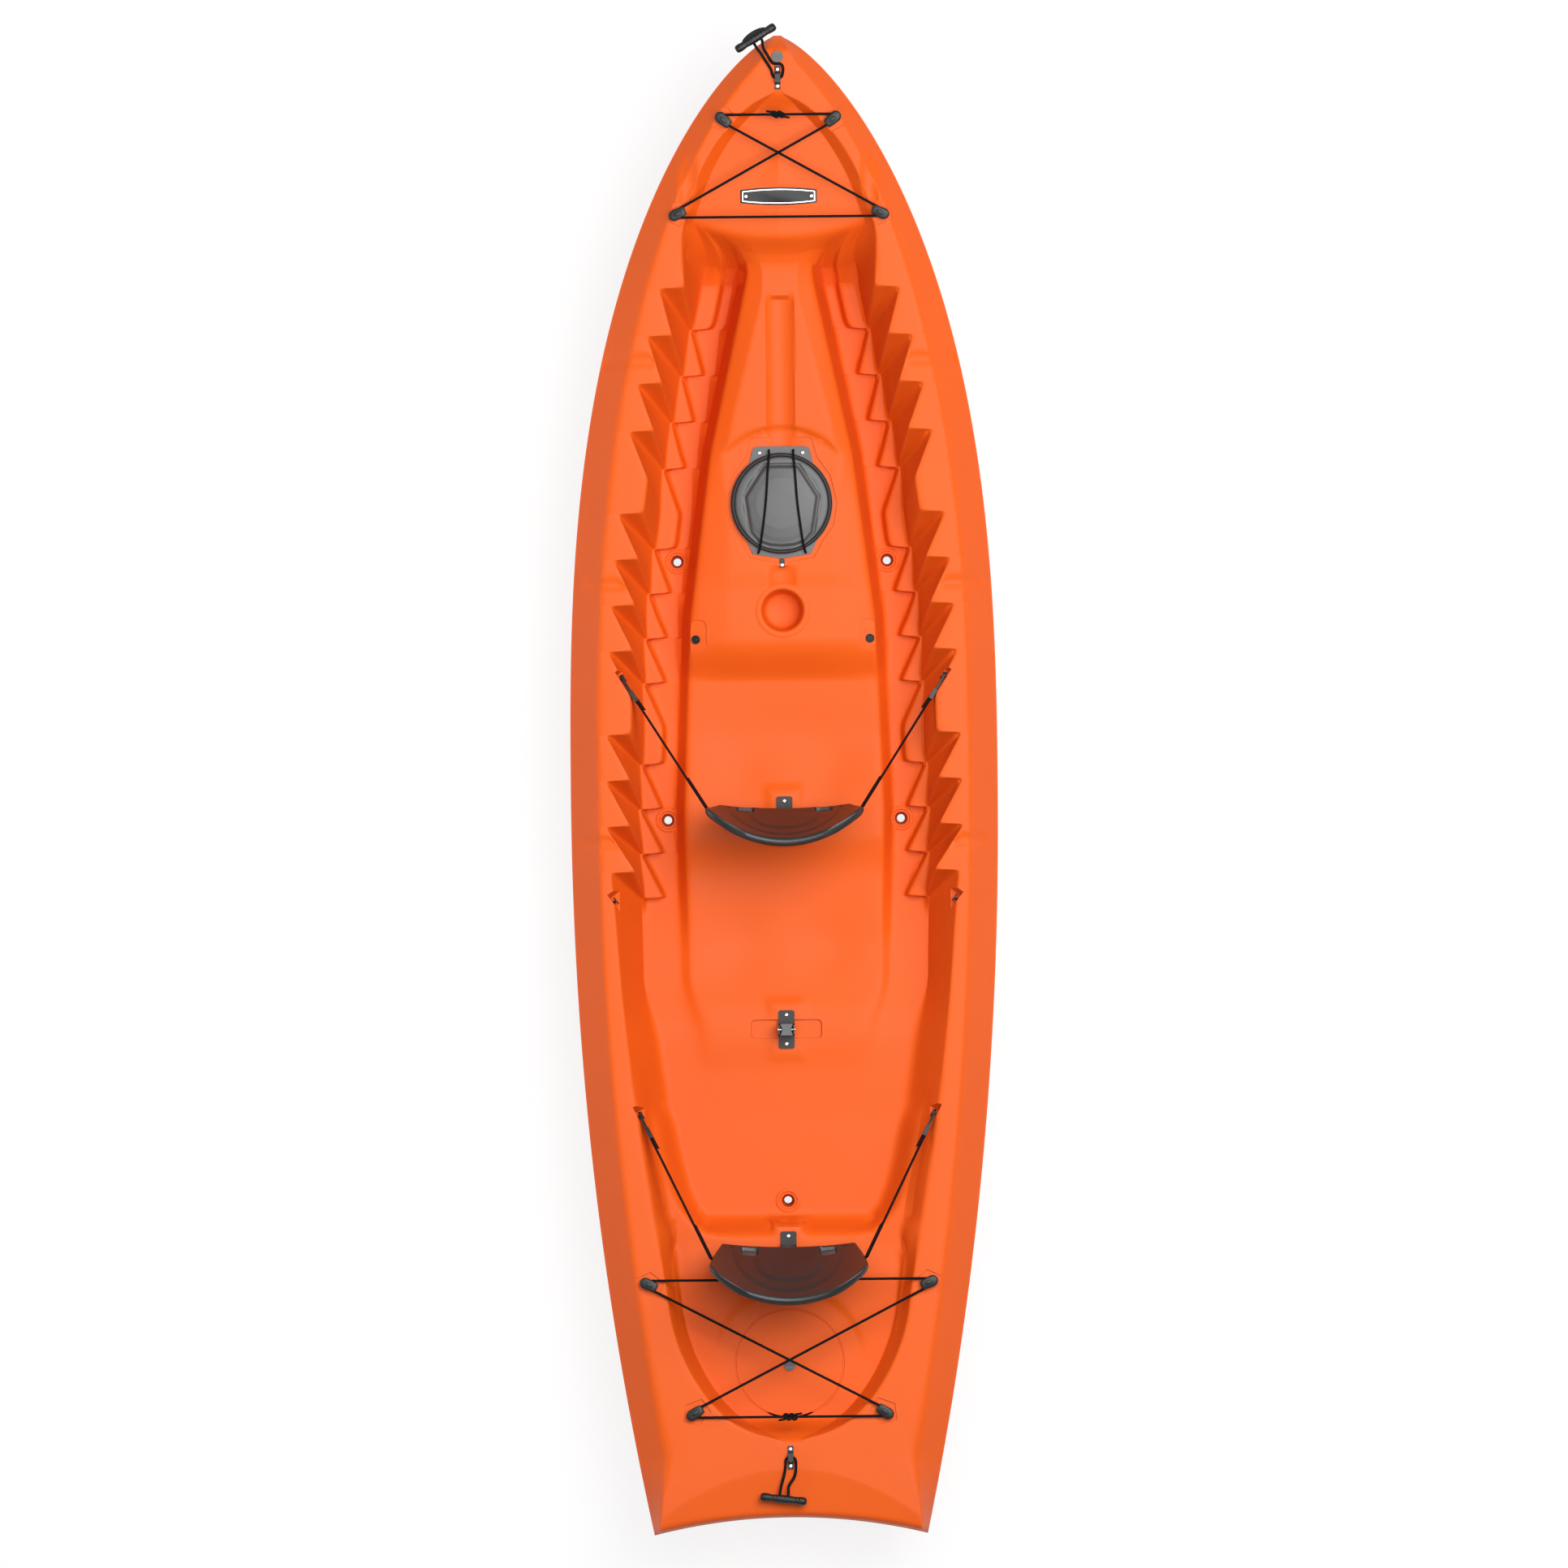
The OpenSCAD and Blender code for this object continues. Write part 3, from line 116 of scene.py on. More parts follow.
STERN_MIDDLE = (0, -1200.5)
TROUGH_HALF = 31
RING_Y = -1235
BOWL_REAR = -966
EDGE_STRIP = 72
BORE_R = 96.5
PLUG_BORE_R = 8.3

RIM_INSET = [(1160, 45), (1065, 85), (700, 88), (400, 82), (-80, 74), (-200, 85), (-300, 91), (-490, 97),
             (-630, 103), (-880, 118), (-1086, 124)]
CONSOLE_WIDTH = [(1128, 62), (711, 152), (361, 197), (-55, 213), (-368, 205), (-500, 204)]
CREASE = [(1128, 35), (1046, 38), (780, 104), (735, 112), (478, 114), (300, 120), (-500, 130)]
WALL_RUN = [(1160, 25), (1100, 60), (-490, 60), (-930, 70), (-1000, 30), (-1086, 28)]
SEAT = [(236, 158), (100, 150), (-10, 168), (-22, 170), (-112, 170), (-180, 152), (-350, 150), (-440, 164),
        (-478, 178), (-570, 178), (CONSOLE_REAR, 170)]
CONSOLE_EDGE = [(CONSOLE_FRONT, 297), (1128, 240), (1085, 230), (720, 205), (400, 198), (288, 192)] + SEAT
CONSOLE_TOP = [(CONSOLE_FRONT, 297), (1128, 252), (1085, 246), (780, 226), (604, PLATFORM_Z), (456, PLATFORM_Z),
               (424, 209), (288, 207)] + SEAT
WELL_SHARE = [0, 0.12, 0.4, 0.6, 0.7, 0.85, 0.93, 1]
SLANT = [(WELL_LIP, 0), (TEETH[0][0], 85), (LAST_NOTCH, 57), (-420, 0)]


def lookup(y, table):
    return float(np.interp(y, *zip(*sorted(table))))


def ramp(a, b, y):
    return min(1.0, max(0.0, (y - a) / (b - a)))


def mix(a, b, t):
    return a + (b - a) * t


def soft(a, b, v):
    t = np.clip((v - a) / (b - a), 0, 1)
    return t * t * (3 - 2 * t)


# Lines of the hull
def half_beam(y):
    if y > 0:
        return max(8, HALF_BEAM * (1 - min(1, y / BOW) ** 2.65) ** 0.71)
    return HALF_BEAM * (1 - 0.361 * (y / STERN) ** 2.08)


def rise(y, mid, bow, stern):
    return mid + ((bow if y > 0 else stern) - mid) * (y / BOW) ** 2


def gunwale_z(y):
    return rise(y, 295, 380, 330)


def seam_z(y):
    return rise(y, 205, 335, 255)


def stern_shift(x, v):
    return 36 * (1 - (x / half_beam(v)) ** 2) * ramp(-1350, STERN, v)


def band(y):
    width = mix(61, 47, ramp(900, 1440, y)) if y > 0 else mix(61, 10, ramp(-1440, STERN, y))
    return min(0.55 * half_beam(y), width)


def saw(v):
    for n, pitch, _ in reversed(TEETH):
        if v <= n:
            if v >= n - NOTCH:
                return (n - v) / NOTCH
            return 1.0 if n == LAST_NOTCH else ramp(n - pitch, n - NOTCH, v)
    return 0.0


def well_curve(half_width, t, power, root):
    return max(8, half_width * (1 - t ** power) ** root)


def rim(y, v):
    g = half_beam(y) - band(y)
    if y > WELL_LIP:
        r = well_curve(209, ramp(WELL_LIP, WELL_TIP, y), 1.6, 0.61)
    elif y < TANK_TIP:
        r = mix(8, half_beam(y), ramp(TANK_TIP, STERN + 60, y))
    elif y < TANK_FRONT:
        r = well_curve(259, ramp(TANK_FRONT, TANK_TIP, y), 1.7, 0.5)
    else:
        r = half_beam(y) - lookup(y, RIM_INSET) - TOOTH_DEPTH * (1 - saw(v))
    return min(g - min(14, 0.2 * g), r)


FLOOR_LINE = [(WELL_TIP, gunwale_z(WELL_TIP)), (WELL_TIP - 31, 335), (1175, 302), (1160, 294), (1085, FLOOR),
              (-180, FLOOR), (-420, 150), (-520, 172), (-600, 170), (-860, BOWL_FLOOR), (-918, BOWL_FLOOR),
              (-950, TANK_FLOOR), (TANK_TIP + 47, TANK_FLOOR), (TANK_TIP, gunwale_z(TANK_TIP))]


def footwell(y):
    return ramp(CONSOLE_FRONT, 1105, y) * ramp(-520, -420, y)


def in_cockpit(y):
    return TANK_TIP < y < WELL_TIP


def floor_z(y):
    return lookup(y, FLOOR_LINE) if in_cockpit(y) else gunwale_z(y)


def floor_place(v):
    return v - lookup(v, SLANT)


def rim_place(y):
    return y + lookup(y, [(a - s, s) for a, s in SLANT])


def deck_section(v):
    """The eleven points of one row of the deck, from the centre line to the parting line."""
    points = []
    for i in range(11):
        tip = 21 * ramp(1400, BOW, v) if i < 10 else 0
        y = (floor_place(v) if i <= 7 else v) - tip
        if v >= BOW or v <= STERN:
            x = i / 10 * half_beam(v)
            points.append((x, v + stern_shift(x, v), seam_z(v)))
            continue
        g, r = half_beam(y) - band(y), rim(y, v)
        if i == 10:
            x = half_beam(v)
        elif i == 9:
            x = g
        elif i == 8:
            x = r
        else:
            foot = r - min(lookup(y, WALL_RUN), 0.35 * r)
            top = lookup(y, CONSOLE_WIDTH)
            f = top + 45 + 45 * saw(v)
            cockpit = [0, TROUGH_HALF, lookup(y, CREASE), top, top + 20, f, f + 8, f + 10 + 38 * (1 - saw(v))]
            x = mix(WELL_SHARE[i] * foot, cockpit[i], footwell(y))
        place = y + stern_shift(x, v)
        if i == 10:
            z = seam_z(v)
        elif i >= 8 or not in_cockpit(y):
            z = gunwale_z(place)
        elif i >= 6:
            z = floor_z(y) + LEDGE * footwell(y) * ramp(-270, -236, y)
        elif i >= 4 or not CONSOLE_REAR < y < CONSOLE_FRONT:
            z = floor_z(y)
        else:
            z = lookup(y, CONSOLE_EDGE if i == 3 else CONSOLE_TOP)
        points.append((x, place, z))
    return np.array(points)


def deck_rows():
    rows = []
    for n, pitch, last in TEETH:
        rows += [n - NOTCH * k / 8 for k in range(9)]
        rows += [n - NOTCH - (pitch - NOTCH) * t for t in (0.03, 0.08, 0.16, 0.28, 0.42, 0.56, 0.7, 0.82, 0.92, 0.97)]
        rows += [n - pitch] if last else []
    y = BOW
    while y > STERN:
        fine = 1060 < y < 1200 or 725 < y < 785 or y > 1440 or y < -1340 or -980 < y < -880
        paddle = min(abs(y - p) for p in PADDLE_RESTS) < 26
        v = rim_place(y)
        if min(abs(v - r) for r in rows) > 3:
            rows.append(v)
        y -= 4 if paddle else 5 if fine else 9
    return sorted(rows + [STERN], reverse=True)


PADDLE_RESTS = [909, 432, -119]
SPLITS = [6, 8, 7, 8, 6, 6, 6, 15, 8, 9]


def mirrored(half):
    """Both sides of a grid whose first column lies on the centre line."""
    return np.concatenate([half[:, :0:-1] * np.array([-1, 1, 1]), half], axis=1)


def free_points(g):
    """A weight for relax that holds the rim of a grid in place."""
    weight = np.ones(g.shape[:2])
    weight[[0, -1]] = 0
    weight[:, [0, -1]] = 0
    return weight


def deck_grid():
    half = []
    for v in deck_rows():
        p = deck_section(v)
        line = []
        for i, n in enumerate(SPLITS):
            for k in range(n):
                t = (1 - cos(pi * k / n)) / 2
                line.append(p[i] * (1 - t) + p[i + 1] * t)
        half.append(line + [p[10]])
    return mirrored(np.array(half))


def relax(g, rounds, weight):
    """Rounds the edges of a grid of points by moving each towards the mean of its neighbours."""
    w = weight[..., None] * 0.5
    for _ in range(rounds):
        mean = g.copy()
        mean[1:-1, 1:-1] = (g[:-2, 1:-1] + g[2:, 1:-1] + g[1:-1, :-2] + g[1:-1, 2:]) / 4
        g = g + w * (mean - g)
    return g


def half_width_at(y):
    return np.vectorize(half_beam)(y)


def inboard(a, y):
    """True away from the strip along the gunwale."""
    return a < half_width_at(y) - EDGE_STRIP


def at_height(g, z):
    return np.concatenate([g[..., :2], z[..., None]], axis=-1)


def carve(g):
    """Moulded hollows and crowns that follow the place on the deck."""
    x, y, z = g[..., 0], g[..., 1], g[..., 2].copy()
    a = np.abs(x)

    def hollow(half_width):
        return np.clip(1 - (a / half_width) ** 2, 0, 1) ** 0.75

    # Paddle trough along the console
    z -= 13 * hollow(TROUGH_HALF) * (soft(1046, 1038, y) * soft(728, 738, y))
    z -= 9 * hollow(29) * soft(470, 462, y) * soft(418, 424, y)
    # Round platform under the hatch
    r = np.hypot(x, y - HATCH[1])
    inside = soft(168, 158, r) * (y > 560) * (a < 150)
    z -= np.maximum(0, z - PLATFORM_Z + 9 * hollow(TROUGH_HALF)) * inside * (z > 190)
    # Crown of the bow well floor and finger hollows beside it
    w = 100 * np.clip((1352 - y) / 190, 0, 1) ** 0.7 + 1e-6
    z += 5 * np.clip(1 - a / w, 0, 1) * soft(1362, 1330, y) * soft(1150, 1175, y)
    lean = (a - 194) + (y - 1288) * 0.10
    leaf = 1 - (lean / 19) ** 2 - ((y - 1288) / 62) ** 2
    z -= 11 * np.clip(leaf, 0, 1) ** 0.7
    # Paddle rests across the gunwales
    across = soft(0, 10, a - np.array([rim(q, q) for q in y[:, 0]])[:, None] - 1)
    for p in PADDLE_RESTS:
        groove = np.clip(1 - np.abs(y - p) / 15, 0, 1)
        z -= 7 * groove ** 0.6 * across * (z > 255)
    # Seat pans
    for centre in (60, -300):
        z -= 7 * np.exp(-((y - centre) / 150) ** 2) * np.clip(1 - (a / 205) ** 2, 0, 1)
        z -= 5 * np.exp(-((y - centre + 40) / 70) ** 2 - ((a - 95) / 55) ** 2)
    # Tank floor rises a little towards the seat round a level disc
    disc = np.hypot(x, y - RING_Y)
    shelf = soft(TANK_FLOOR + 30, TANK_FLOOR + 12, z) * soft(-975, -1050, y) * (y > -1300) * inboard(a, y)
    z += 9 * np.clip((y - RING_Y) / 185, 0, 1) * shelf * soft(156, 166, disc)
    # The stern deck falls away behind a curved crease
    crease = -1459 - 0.00135 * x * x
    z -= 0.17 * np.maximum(0, crease - y) * soft(0, 30, half_width_at(y) - a)
    return at_height(g, z)


# Half-width of the rear seat's bowl along the boat, at its upper edge
BOWL = [(-640, 330), (-715, 288), (-784, 274), (-854, 257), (-900, 238), (-930, 214), (-950, 186), (-962, 120),
        (BOWL_REAR, 0)]


def rear_seat(g):
    """Bowl of the rear seat, with the tank floor running forward on both sides of it."""
    y, z = g[..., 1], g[..., 2]
    a = np.abs(g[..., 0])
    edge = np.interp(y, *zip(*sorted(BOWL)))
    inside = np.minimum(edge - a, np.clip(y - BOWL_REAR, 0, None))
    level = BOWL_FLOOR + (TANK_FLOOR - BOWL_FLOOR) * (1 - soft(0, 52, inside)) ** 1.2
    where = soft(-640, -720, y) * (y > -1000) * (z < 262) * inboard(a, y)
    return at_height(g, z + where * (level - z))


# Meshes
def added(name, data):
    made = bpy.data.objects.new(name, data)
    scene.collection.objects.link(made)
    return made


def build(name, points, faces):
    mesh = bpy.data.meshes.new(name)
    mesh.from_pydata((np.asarray(points, float) * MM).tolist(), [], faces)
    mesh.update()
    return added(name, mesh)


def grid_faces(rows, columns, start=0, flip=False):
    faces = []
    for j in range(rows - 1):
        for i in range(columns - 1):
            k = start + j * columns + i
            quad = (k, k + columns, k + columns + 1, k + 1)
            faces.append(quad[::-1] if flip else quad)
    return faces


def coarse(n, step):
    return list(range(0, n - 1, step)) + [n - 1]


def stitch(outer, inner, shared, flip):
    """Triangles between a fine edge and a coarse one; shared gives the fine place of each coarse point."""
    outer, inner, faces = outer.tolist(), inner.tolist(), []
    for a, b, p, q in zip(shared[:-1], shared[1:], inner[:-1], inner[1:]):
        middle = (a + b) // 2
        for k in range(a, b):
            faces.append((outer[k], outer[k + 1], p if k < middle else q))
        faces.append((outer[middle], q, p))
    return [f[::-1] for f in faces] if flip else faces


def shell(name, top, bottom, step=4, flip=False):
    """A closed skin: a fine outer grid, and a coarse inner grid picked from points of the same shape."""
    rows, columns = top.shape[:2]
    jr, ic = coarse(rows, step), coarse(columns, step)
    inner = bottom[np.ix_(jr, ic)]
    start, wide = rows * columns, len(ic)
    points = np.concatenate([top.reshape(-1, 3), inner.reshape(-1, 3)])
    faces = grid_faces(rows, columns, 0, flip) + grid_faces(len(jr), wide, start, not flip)
    edge = np.arange(start).reshape(rows, columns)
    core = np.arange(start, start + len(jr) * wide).reshape(len(jr), wide)
    faces += stitch(edge[0], core[0], ic, flip) + stitch(edge[-1], core[-1], ic, not flip)
    faces += stitch(edge[:, 0], core[:, 0], jr, not flip) + stitch(edge[:, -1], core[:, -1], jr, flip)
    return build(name, points, faces)


def close_ends(inner, g):
    """Brings the rim of an inner skin level with the outer one's, a wall's thickness inside its ends."""
    for j, shift in ((0, -WALL), (-1, WALL)):
        inner[j, :, 1] += shift
        inner[j, :, 2] = g[j, :, 2]
    inner[:, [0, -1], 2] = g[:, [0, -1], 2]


def outward(made, merge=False, trim=False):
    """Turns faces outward; merge joins points that coincide, and trim drops faces without area."""
    edit = bmesh.new()
    edit.from_mesh(made.data)
    if merge:
        bmesh.ops.remove_doubles(edit, verts=edit.verts, dist=2e-6)
    if trim:
        bmesh.ops.dissolve_degenerate(edit, edges=edit.edges, dist=1e-7)
    bmesh.ops.recalc_face_normals(edit, faces=edit.faces)
    edit.to_mesh(made.data)
    edit.free()
    return made


def joined(name, objects):
    edit = bmesh.new()
    for o in objects:
        edit.from_mesh(o.data)
        bpy.data.objects.remove(o)
    mesh = bpy.data.meshes.new(name)
    edit.to_mesh(mesh)
    edit.free()
    return added(name, mesh)


def combine(target, tools, operation="DIFFERENCE"):
    """Cuts, joins or meets a target with solids, which mustn't overlap each other where they cut."""
    tool = joined("tool", tools)
    change = target.modifiers.new("cut", "BOOLEAN")
    change.operation, change.object, change.solver = operation, tool, "MANIFOLD"
    bpy.context.view_layer.update()
    mesh = bpy.data.meshes.new_from_object(target.evaluated_get(bpy.context.evaluated_depsgraph_get()))
    target.modifiers.clear()
    old, target.data = target.data, mesh
    mesh.name = target.name
    bpy.data.meshes.remove(old)
    bpy.data.objects.remove(tool)


def loft(name, loops, caps=True):
    """A solid skin through closed loops of the same count."""
    n = len(loops[0])
    points = [p for loop in loops for p in loop]
    faces = []
    for j in range(len(loops) - 1):
        for i in range(n):
            k, m = j * n + i, j * n + (i + 1) % n
            faces.append((k, m, m + n, k + n))
    if caps:
        faces.append(tuple(range(n - 1, -1, -1)))
        faces.append(tuple((len(loops) - 1) * n + i for i in range(n)))
    return outward(build(name, points, faces))


def placed(points, matrix):
    return [tuple(matrix @ Vector(p)) for p in points]


def circle(r, n):
    return [(r * cos(2 * pi * k / n), r * sin(2 * pi * k / n)) for k in range(n)]


def lathe(name, profile, matrix, sides):
    """Turns pairs of radius and height about the local Z axis; a radius of 0 closes an end."""
    loops = [placed([(x, y, z) for x, y in circle(max(r, 1e-4), sides)], matrix) for r, z in profile]
    return outward(loft(name, loops, caps=profile[0] != profile[-1]), merge=True, trim=True)


def cylinder(name, r, z0, z1, matrix, sides):
    return lathe(name, [(0, z0), (r, z0), (r, z1), (0, z1)], matrix, sides)


def prism(name, outline, z0, z1, matrix, edge=0.0, taper=0.0):
    """An outline drawn up from z0 to z1, with its upper edge rounded by edge, or spread by taper."""
    c = np.mean(np.array(outline, float), axis=0)

    def scaled(by):
        out = []
        for p in np.array(outline, float):
            d = p - c
            out.append(p - d / (np.linalg.norm(d) + 1e-9) * by)
        return out
    steps = [(0, z0), (0, z1 - edge), (edge * 0.3, z1 - edge * 0.3), (edge, z1)] if edge else [(0, z0), (-taper, z1)]
    return loft(name, [placed([(p[0], p[1], z) for p in scaled(by)], matrix) for by, z in steps])


def rounded(width, length, r, n=6):
    out = []
    for cx, cy, start in ((1, 1, 0), (-1, 1, 90), (-1, -1, 180), (1, -1, 270)):
        for k in range(n + 1):
            a = radians(start + 90 * k / n)
            out.append((cx * (width / 2 - r) + r * cos(a), cy * (length / 2 - r) + r * sin(a)))
    return out


def smooth_route(points, step):
    """A curve through the points, as points about step apart."""
    p = [Vector(q) for q in points]
    p = [2 * p[0] - p[1]] + p + [2 * p[-1] - p[-2]]
    out = []
    for k in range(1, len(p) - 2):
        n = max(1, ceil((p[k + 1] - p[k]).length / step))
        for i in range(n):
            t = i / n
            out.append(0.5 * ((2 * p[k]) + (p[k + 1] - p[k - 1]) * t
                              + (2 * p[k - 1] - 5 * p[k] + 4 * p[k + 1] - p[k + 2]) * t * t
                              + (3 * p[k] - p[k - 1] - 3 * p[k + 1] + p[k + 2]) * t ** 3))
    return out + [p[-2]]


def tube(name, route, radius, sides=12, dome=True):
    """A round cord along a route, with a steady twist-free frame and rounded ends."""
    p = [Vector(q) for q in route]
    tangents = [(p[min(k + 1, len(p) - 1)] - p[max(k - 1, 0)]).normalized() for k in range(len(p))]
    side = tangents[0].orthogonal().normalized()
    loops = []
    for k, t in enumerate(tangents):
        side = (side - side.dot(t) * t).normalized()
        up = t.cross(side)
        loops.append((p[k], side.copy(), up, radius))
    if dome:
        for share, size in ((0.55, 0.83), (1.0, 0.3)):
            loops.insert(0, (p[0] - tangents[0] * radius * share, loops[0][1], loops[0][2], radius * size))
            loops.append((p[-1] + tangents[-1] * radius * share, loops[-1][1], loops[-1][2], radius * size))
    return loft(name, [[tuple(c + (s * x + u * y) * r) for x, y in circle(1, sides)] for c, s, u, r in loops])


move = Matrix.Translation


def turned(degrees, axis):
    return Matrix.Rotation(radians(degrees), 4, axis)


def on_gunwale(x, y, turn=0.0):
    """A frame on the gunwale: X and Y along its surface, Z out of it, turned about Z."""
    tilt = atan(gunwale_z(y + 0.5) - gunwale_z(y - 0.5))
    return move((x, y, gunwale_z(y))) @ Matrix.Rotation(tilt, 4, "X") @ Matrix.Rotation(turn, 4, "Z")


def heading(p, c):
    return atan2(p[1] - c[1], p[0] - c[0])


# Materials
def node_of(tree, kind, **values):
    made = tree.nodes.new(kind)
    for key, value in values.items():
        if key in made.inputs:
            made.inputs[key].default_value = value
        else:
            setattr(made, key, value)
    return made


def plain(name):
    """A new material, its nodes and its shader."""
    made = bpy.data.materials.new(name)
    made.use_nodes = True
    return made, made.node_tree, made.node_tree.nodes["Principled BSDF"]


def material(name, colour, spread, roughness, rough_spread=0.06, grain=900, grain_depth=0.00006, blotch=7,
             metallic=0.0, specular=0.5, edge=0.0, weave=None):
    """Colour and roughness vary with a broad noise, convex edges are paler as a painted highlight, and the bump is a
    fine noise or a weave.
    """
    made, tree, shader = plain(name)
    made["slot"] = name
    link = tree.links.new
    shader.inputs["Metallic"].default_value = metallic
    shader.inputs["Specular IOR Level"].default_value = specular
    place = node_of(tree, "ShaderNodeTexCoord").outputs["Object"]
    broad = node_of(tree, "ShaderNodeTexNoise", Scale=blotch, Detail=4.0, Roughness=0.55)
    link(place, broad.inputs["Vector"])
    tones = node_of(tree, "ShaderNodeValToRGB")
    low = [max(0, c * (1 - spread)) for c in colour] + [1]
    high = [min(1, c * (1 + spread)) for c in colour] + [1]
    for stop, at, shade in zip(tones.color_ramp.elements, (0.3, 0.7), (low, high)):
        stop.position, stop.color = at, shade
    link(broad.outputs["Fac"], tones.inputs["Fac"])
    tone = tones.outputs["Color"]
    # Painted highlight: convex edges, found by pointiness, are mixed towards a paler copy of the colour
    if edge:
        geometry = node_of(tree, "ShaderNodeNewGeometry")
        painted_edge_highlight = node_of(tree, "ShaderNodeMapRange",
                       **{"From Min": 0.52, "From Max": 0.62, "To Min": 0.0, "To Max": edge})
        link(geometry.outputs["Pointiness"], painted_edge_highlight.inputs["Value"])
        blend = node_of(tree, "ShaderNodeMix", data_type="RGBA")
        blend.inputs[7].default_value = [min(1, c * 1.35 + 0.06) for c in colour] + [1]
        link(painted_edge_highlight.outputs["Result"], blend.inputs[0])
        link(tone, blend.inputs[6])
        tone = blend.outputs[2]
    link(tone, shader.inputs["Base Color"])
    rough = node_of(tree, "ShaderNodeMapRange",
                    **{"To Min": roughness - rough_spread, "To Max": roughness + rough_spread})
    link(broad.outputs["Fac"], rough.inputs["Value"])
    link(rough.outputs["Result"], shader.inputs["Roughness"])
    if weave:
        both = node_of(tree, "ShaderNodeMath", operation="MULTIPLY")
        for scale, way, socket in ((weave, "DIAGONAL", 0), (weave * 1.07, "X", 1)):
            wave = node_of(tree, "ShaderNodeTexWave", Scale=scale, Distortion=0.6, bands_direction=way)
            link(place, wave.inputs["Vector"])
            link(wave.outputs["Fac"], both.inputs[socket])
        height = both.outputs["Value"]
    else:
        fine = node_of(tree, "ShaderNodeTexNoise", Scale=grain, Detail=2.0, Roughness=0.5)
        link(place, fine.inputs["Vector"])
        height = fine.outputs["Fac"]
    bump = node_of(tree, "ShaderNodeBump", Strength=0.5, Distance=grain_depth)
    link(height, bump.inputs["Height"])
    link(bump.outputs["Normal"], shader.inputs["Normal"])
    return made


orange = material("orange_polyethylene", (0.68, 0.092, 0.0065), 0.03, 0.5, 0.05, grain=700, grain_depth=0.0001,
                  blotch=3, specular=0.17, edge=0.3)
grey = material("grey_plastic", (0.058, 0.058, 0.059), 0.08, 0.45, grain=1400, blotch=20, edge=0.35)
charcoal = material("charcoal_plastic", (0.017, 0.0165, 0.0165), 0.12, 0.42, grain=1200, blotch=16, edge=0.3)
black = material("black_plastic", (0.009, 0.009, 0.0095), 0.2, 0.42, grain=1500, blotch=40, specular=0.3, edge=0.3)
rubber = material("black_rubber", (0.010, 0.009, 0.009), 0.2, 0.6, grain=2000, blotch=40)
cord_black = material("black_cord", (0.006, 0.006, 0.007), 0.3, 0.8, grain_depth=0.0006,
                      blotch=200, specular=0.1, weave=260)
webbing = material("black_webbing", (0.008, 0.008, 0.009), 0.25, 0.85, grain_depth=0.0005,
                   blotch=120, specular=0.1, weave=420)
steel = material("rivet_aluminium", (0.72, 0.72, 0.73), 0.06, 0.28, 0.1, grain=1800, blotch=300, metallic=1.0)


def dress(made, body, look, nodes, angle=40):
    """Shades a piece, gives it its material and body, and hides the CAD nodes that it stands for."""
    mesh = made.data
    mesh.shade_smooth()
    mesh.set_sharp_from_angle(angle=radians(angle))
    mesh.materials.clear()
    mesh.materials.append(look)
    if body:
        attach(made, body)
    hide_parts(*nodes)
    return made


# Backrests and straps: places that the deck and the fittings share
BACKRESTS = ("front", "rear")
BACK_HEIGHT = 224
BACK_HALF_WIDTH = 171
POCKET_X = 84
SEATS = {"front": ((0, -64, 170), 17), "middle": ((0, -522, 178), 17), "rear": ((0, -994, TANK_FLOOR), 29)}
STUDS = {"front": 236, "middle": -243, "rear": -705}


def back_half_width(t):
    full = BACK_HALF_WIDTH * (1 - 0.16 * (1 - t) ** 2)
    return full if t < 0.72 else full * max(0.0, 1 - ((t - 0.72) / 0.3) ** 2.6) ** 0.42


def back_point(t, share, depth):
    """A place on a backrest, by its share of the height and half-width and its depth behind the front."""
    x = share * back_half_width(t)
    return Vector((x, 22 + mix(14, 73, t) * (x / BACK_HALF_WIDTH) ** 2 - depth, 15 + t * BACK_HEIGHT))


def backrest_frame(seat):
    place, lean = SEATS[seat]
    return move((place[0], place[1], place[2] + 40)) @ turned(lean, "X")


def strap_parts(seat):
    """Places of the stud and of the strap's start and end, for starboard."""
    p = deck_section(STUDS[seat])
    stud = Vector(p[8] + (p[7] - p[8]) * 0.12) + Vector((8, 0, 0))
    end = backrest_frame(seat) @ back_point(0.5, 1, 10)
    across = Vector((end.y - stud.y, stud.x - end.x, 0)).normalized()
    start = stud + across * 5
    return stud, start, end


def strap_frame(seat, port):
    stud, start, end = strap_parts(seat)
    d = end - start
    turn, climb = atan2(d.y, d.x), asin(d.z / d.length)
    m = move(stud) @ Matrix.Rotation(turn, 4, "Z") @ Matrix.Rotation(-climb, 4, "Y")
    return (Matrix.Diagonal((-1, 1, 1, 1)) @ m) if port else m


def cube(name, low, high, matrix):
    (x0, y0, z0), (x1, y1, z1) = low, high
    loops = [[(x0, y0, z), (x1, y0, z), (x1, y1, z), (x0, y1, z)] for z in (z0, z1)]
    return loft(name, [placed(loop, matrix) for loop in loops])


# Deck
def seated(g):
    """Levels the deck under each bracket at the height of its foot."""
    x, y, z = g[..., 0], g[..., 1], g[..., 2].copy()
    for seat in SEATS:
        low, high = (np.array(corner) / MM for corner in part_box(seat + "_bracket"))
        middle, half = (low + high) / 2, (high - low) / 2
        past = np.maximum(np.abs(x - middle[0]) - half[0], np.abs(y - middle[1]) - half[1])
        z += soft(30, 6, past) * (low[2] - z)
    return at_height(g, z)


HATCH_FRAME = [(-62, 128), (-50, 132), (50, 132), (62, 128), (72, 92), (98, 55), (111, 0), (104, -44), (84, -72),
               (64, -108), (0, -121), (-64, -108), (-84, -72), (-104, -44), (-111, 0), (-98, 55), (-72, 92)]
SLOT = move((0, -521, 178))


def hatch_outline(scale):
    return [(x * scale, y * scale) for x, y in HATCH_FRAME]


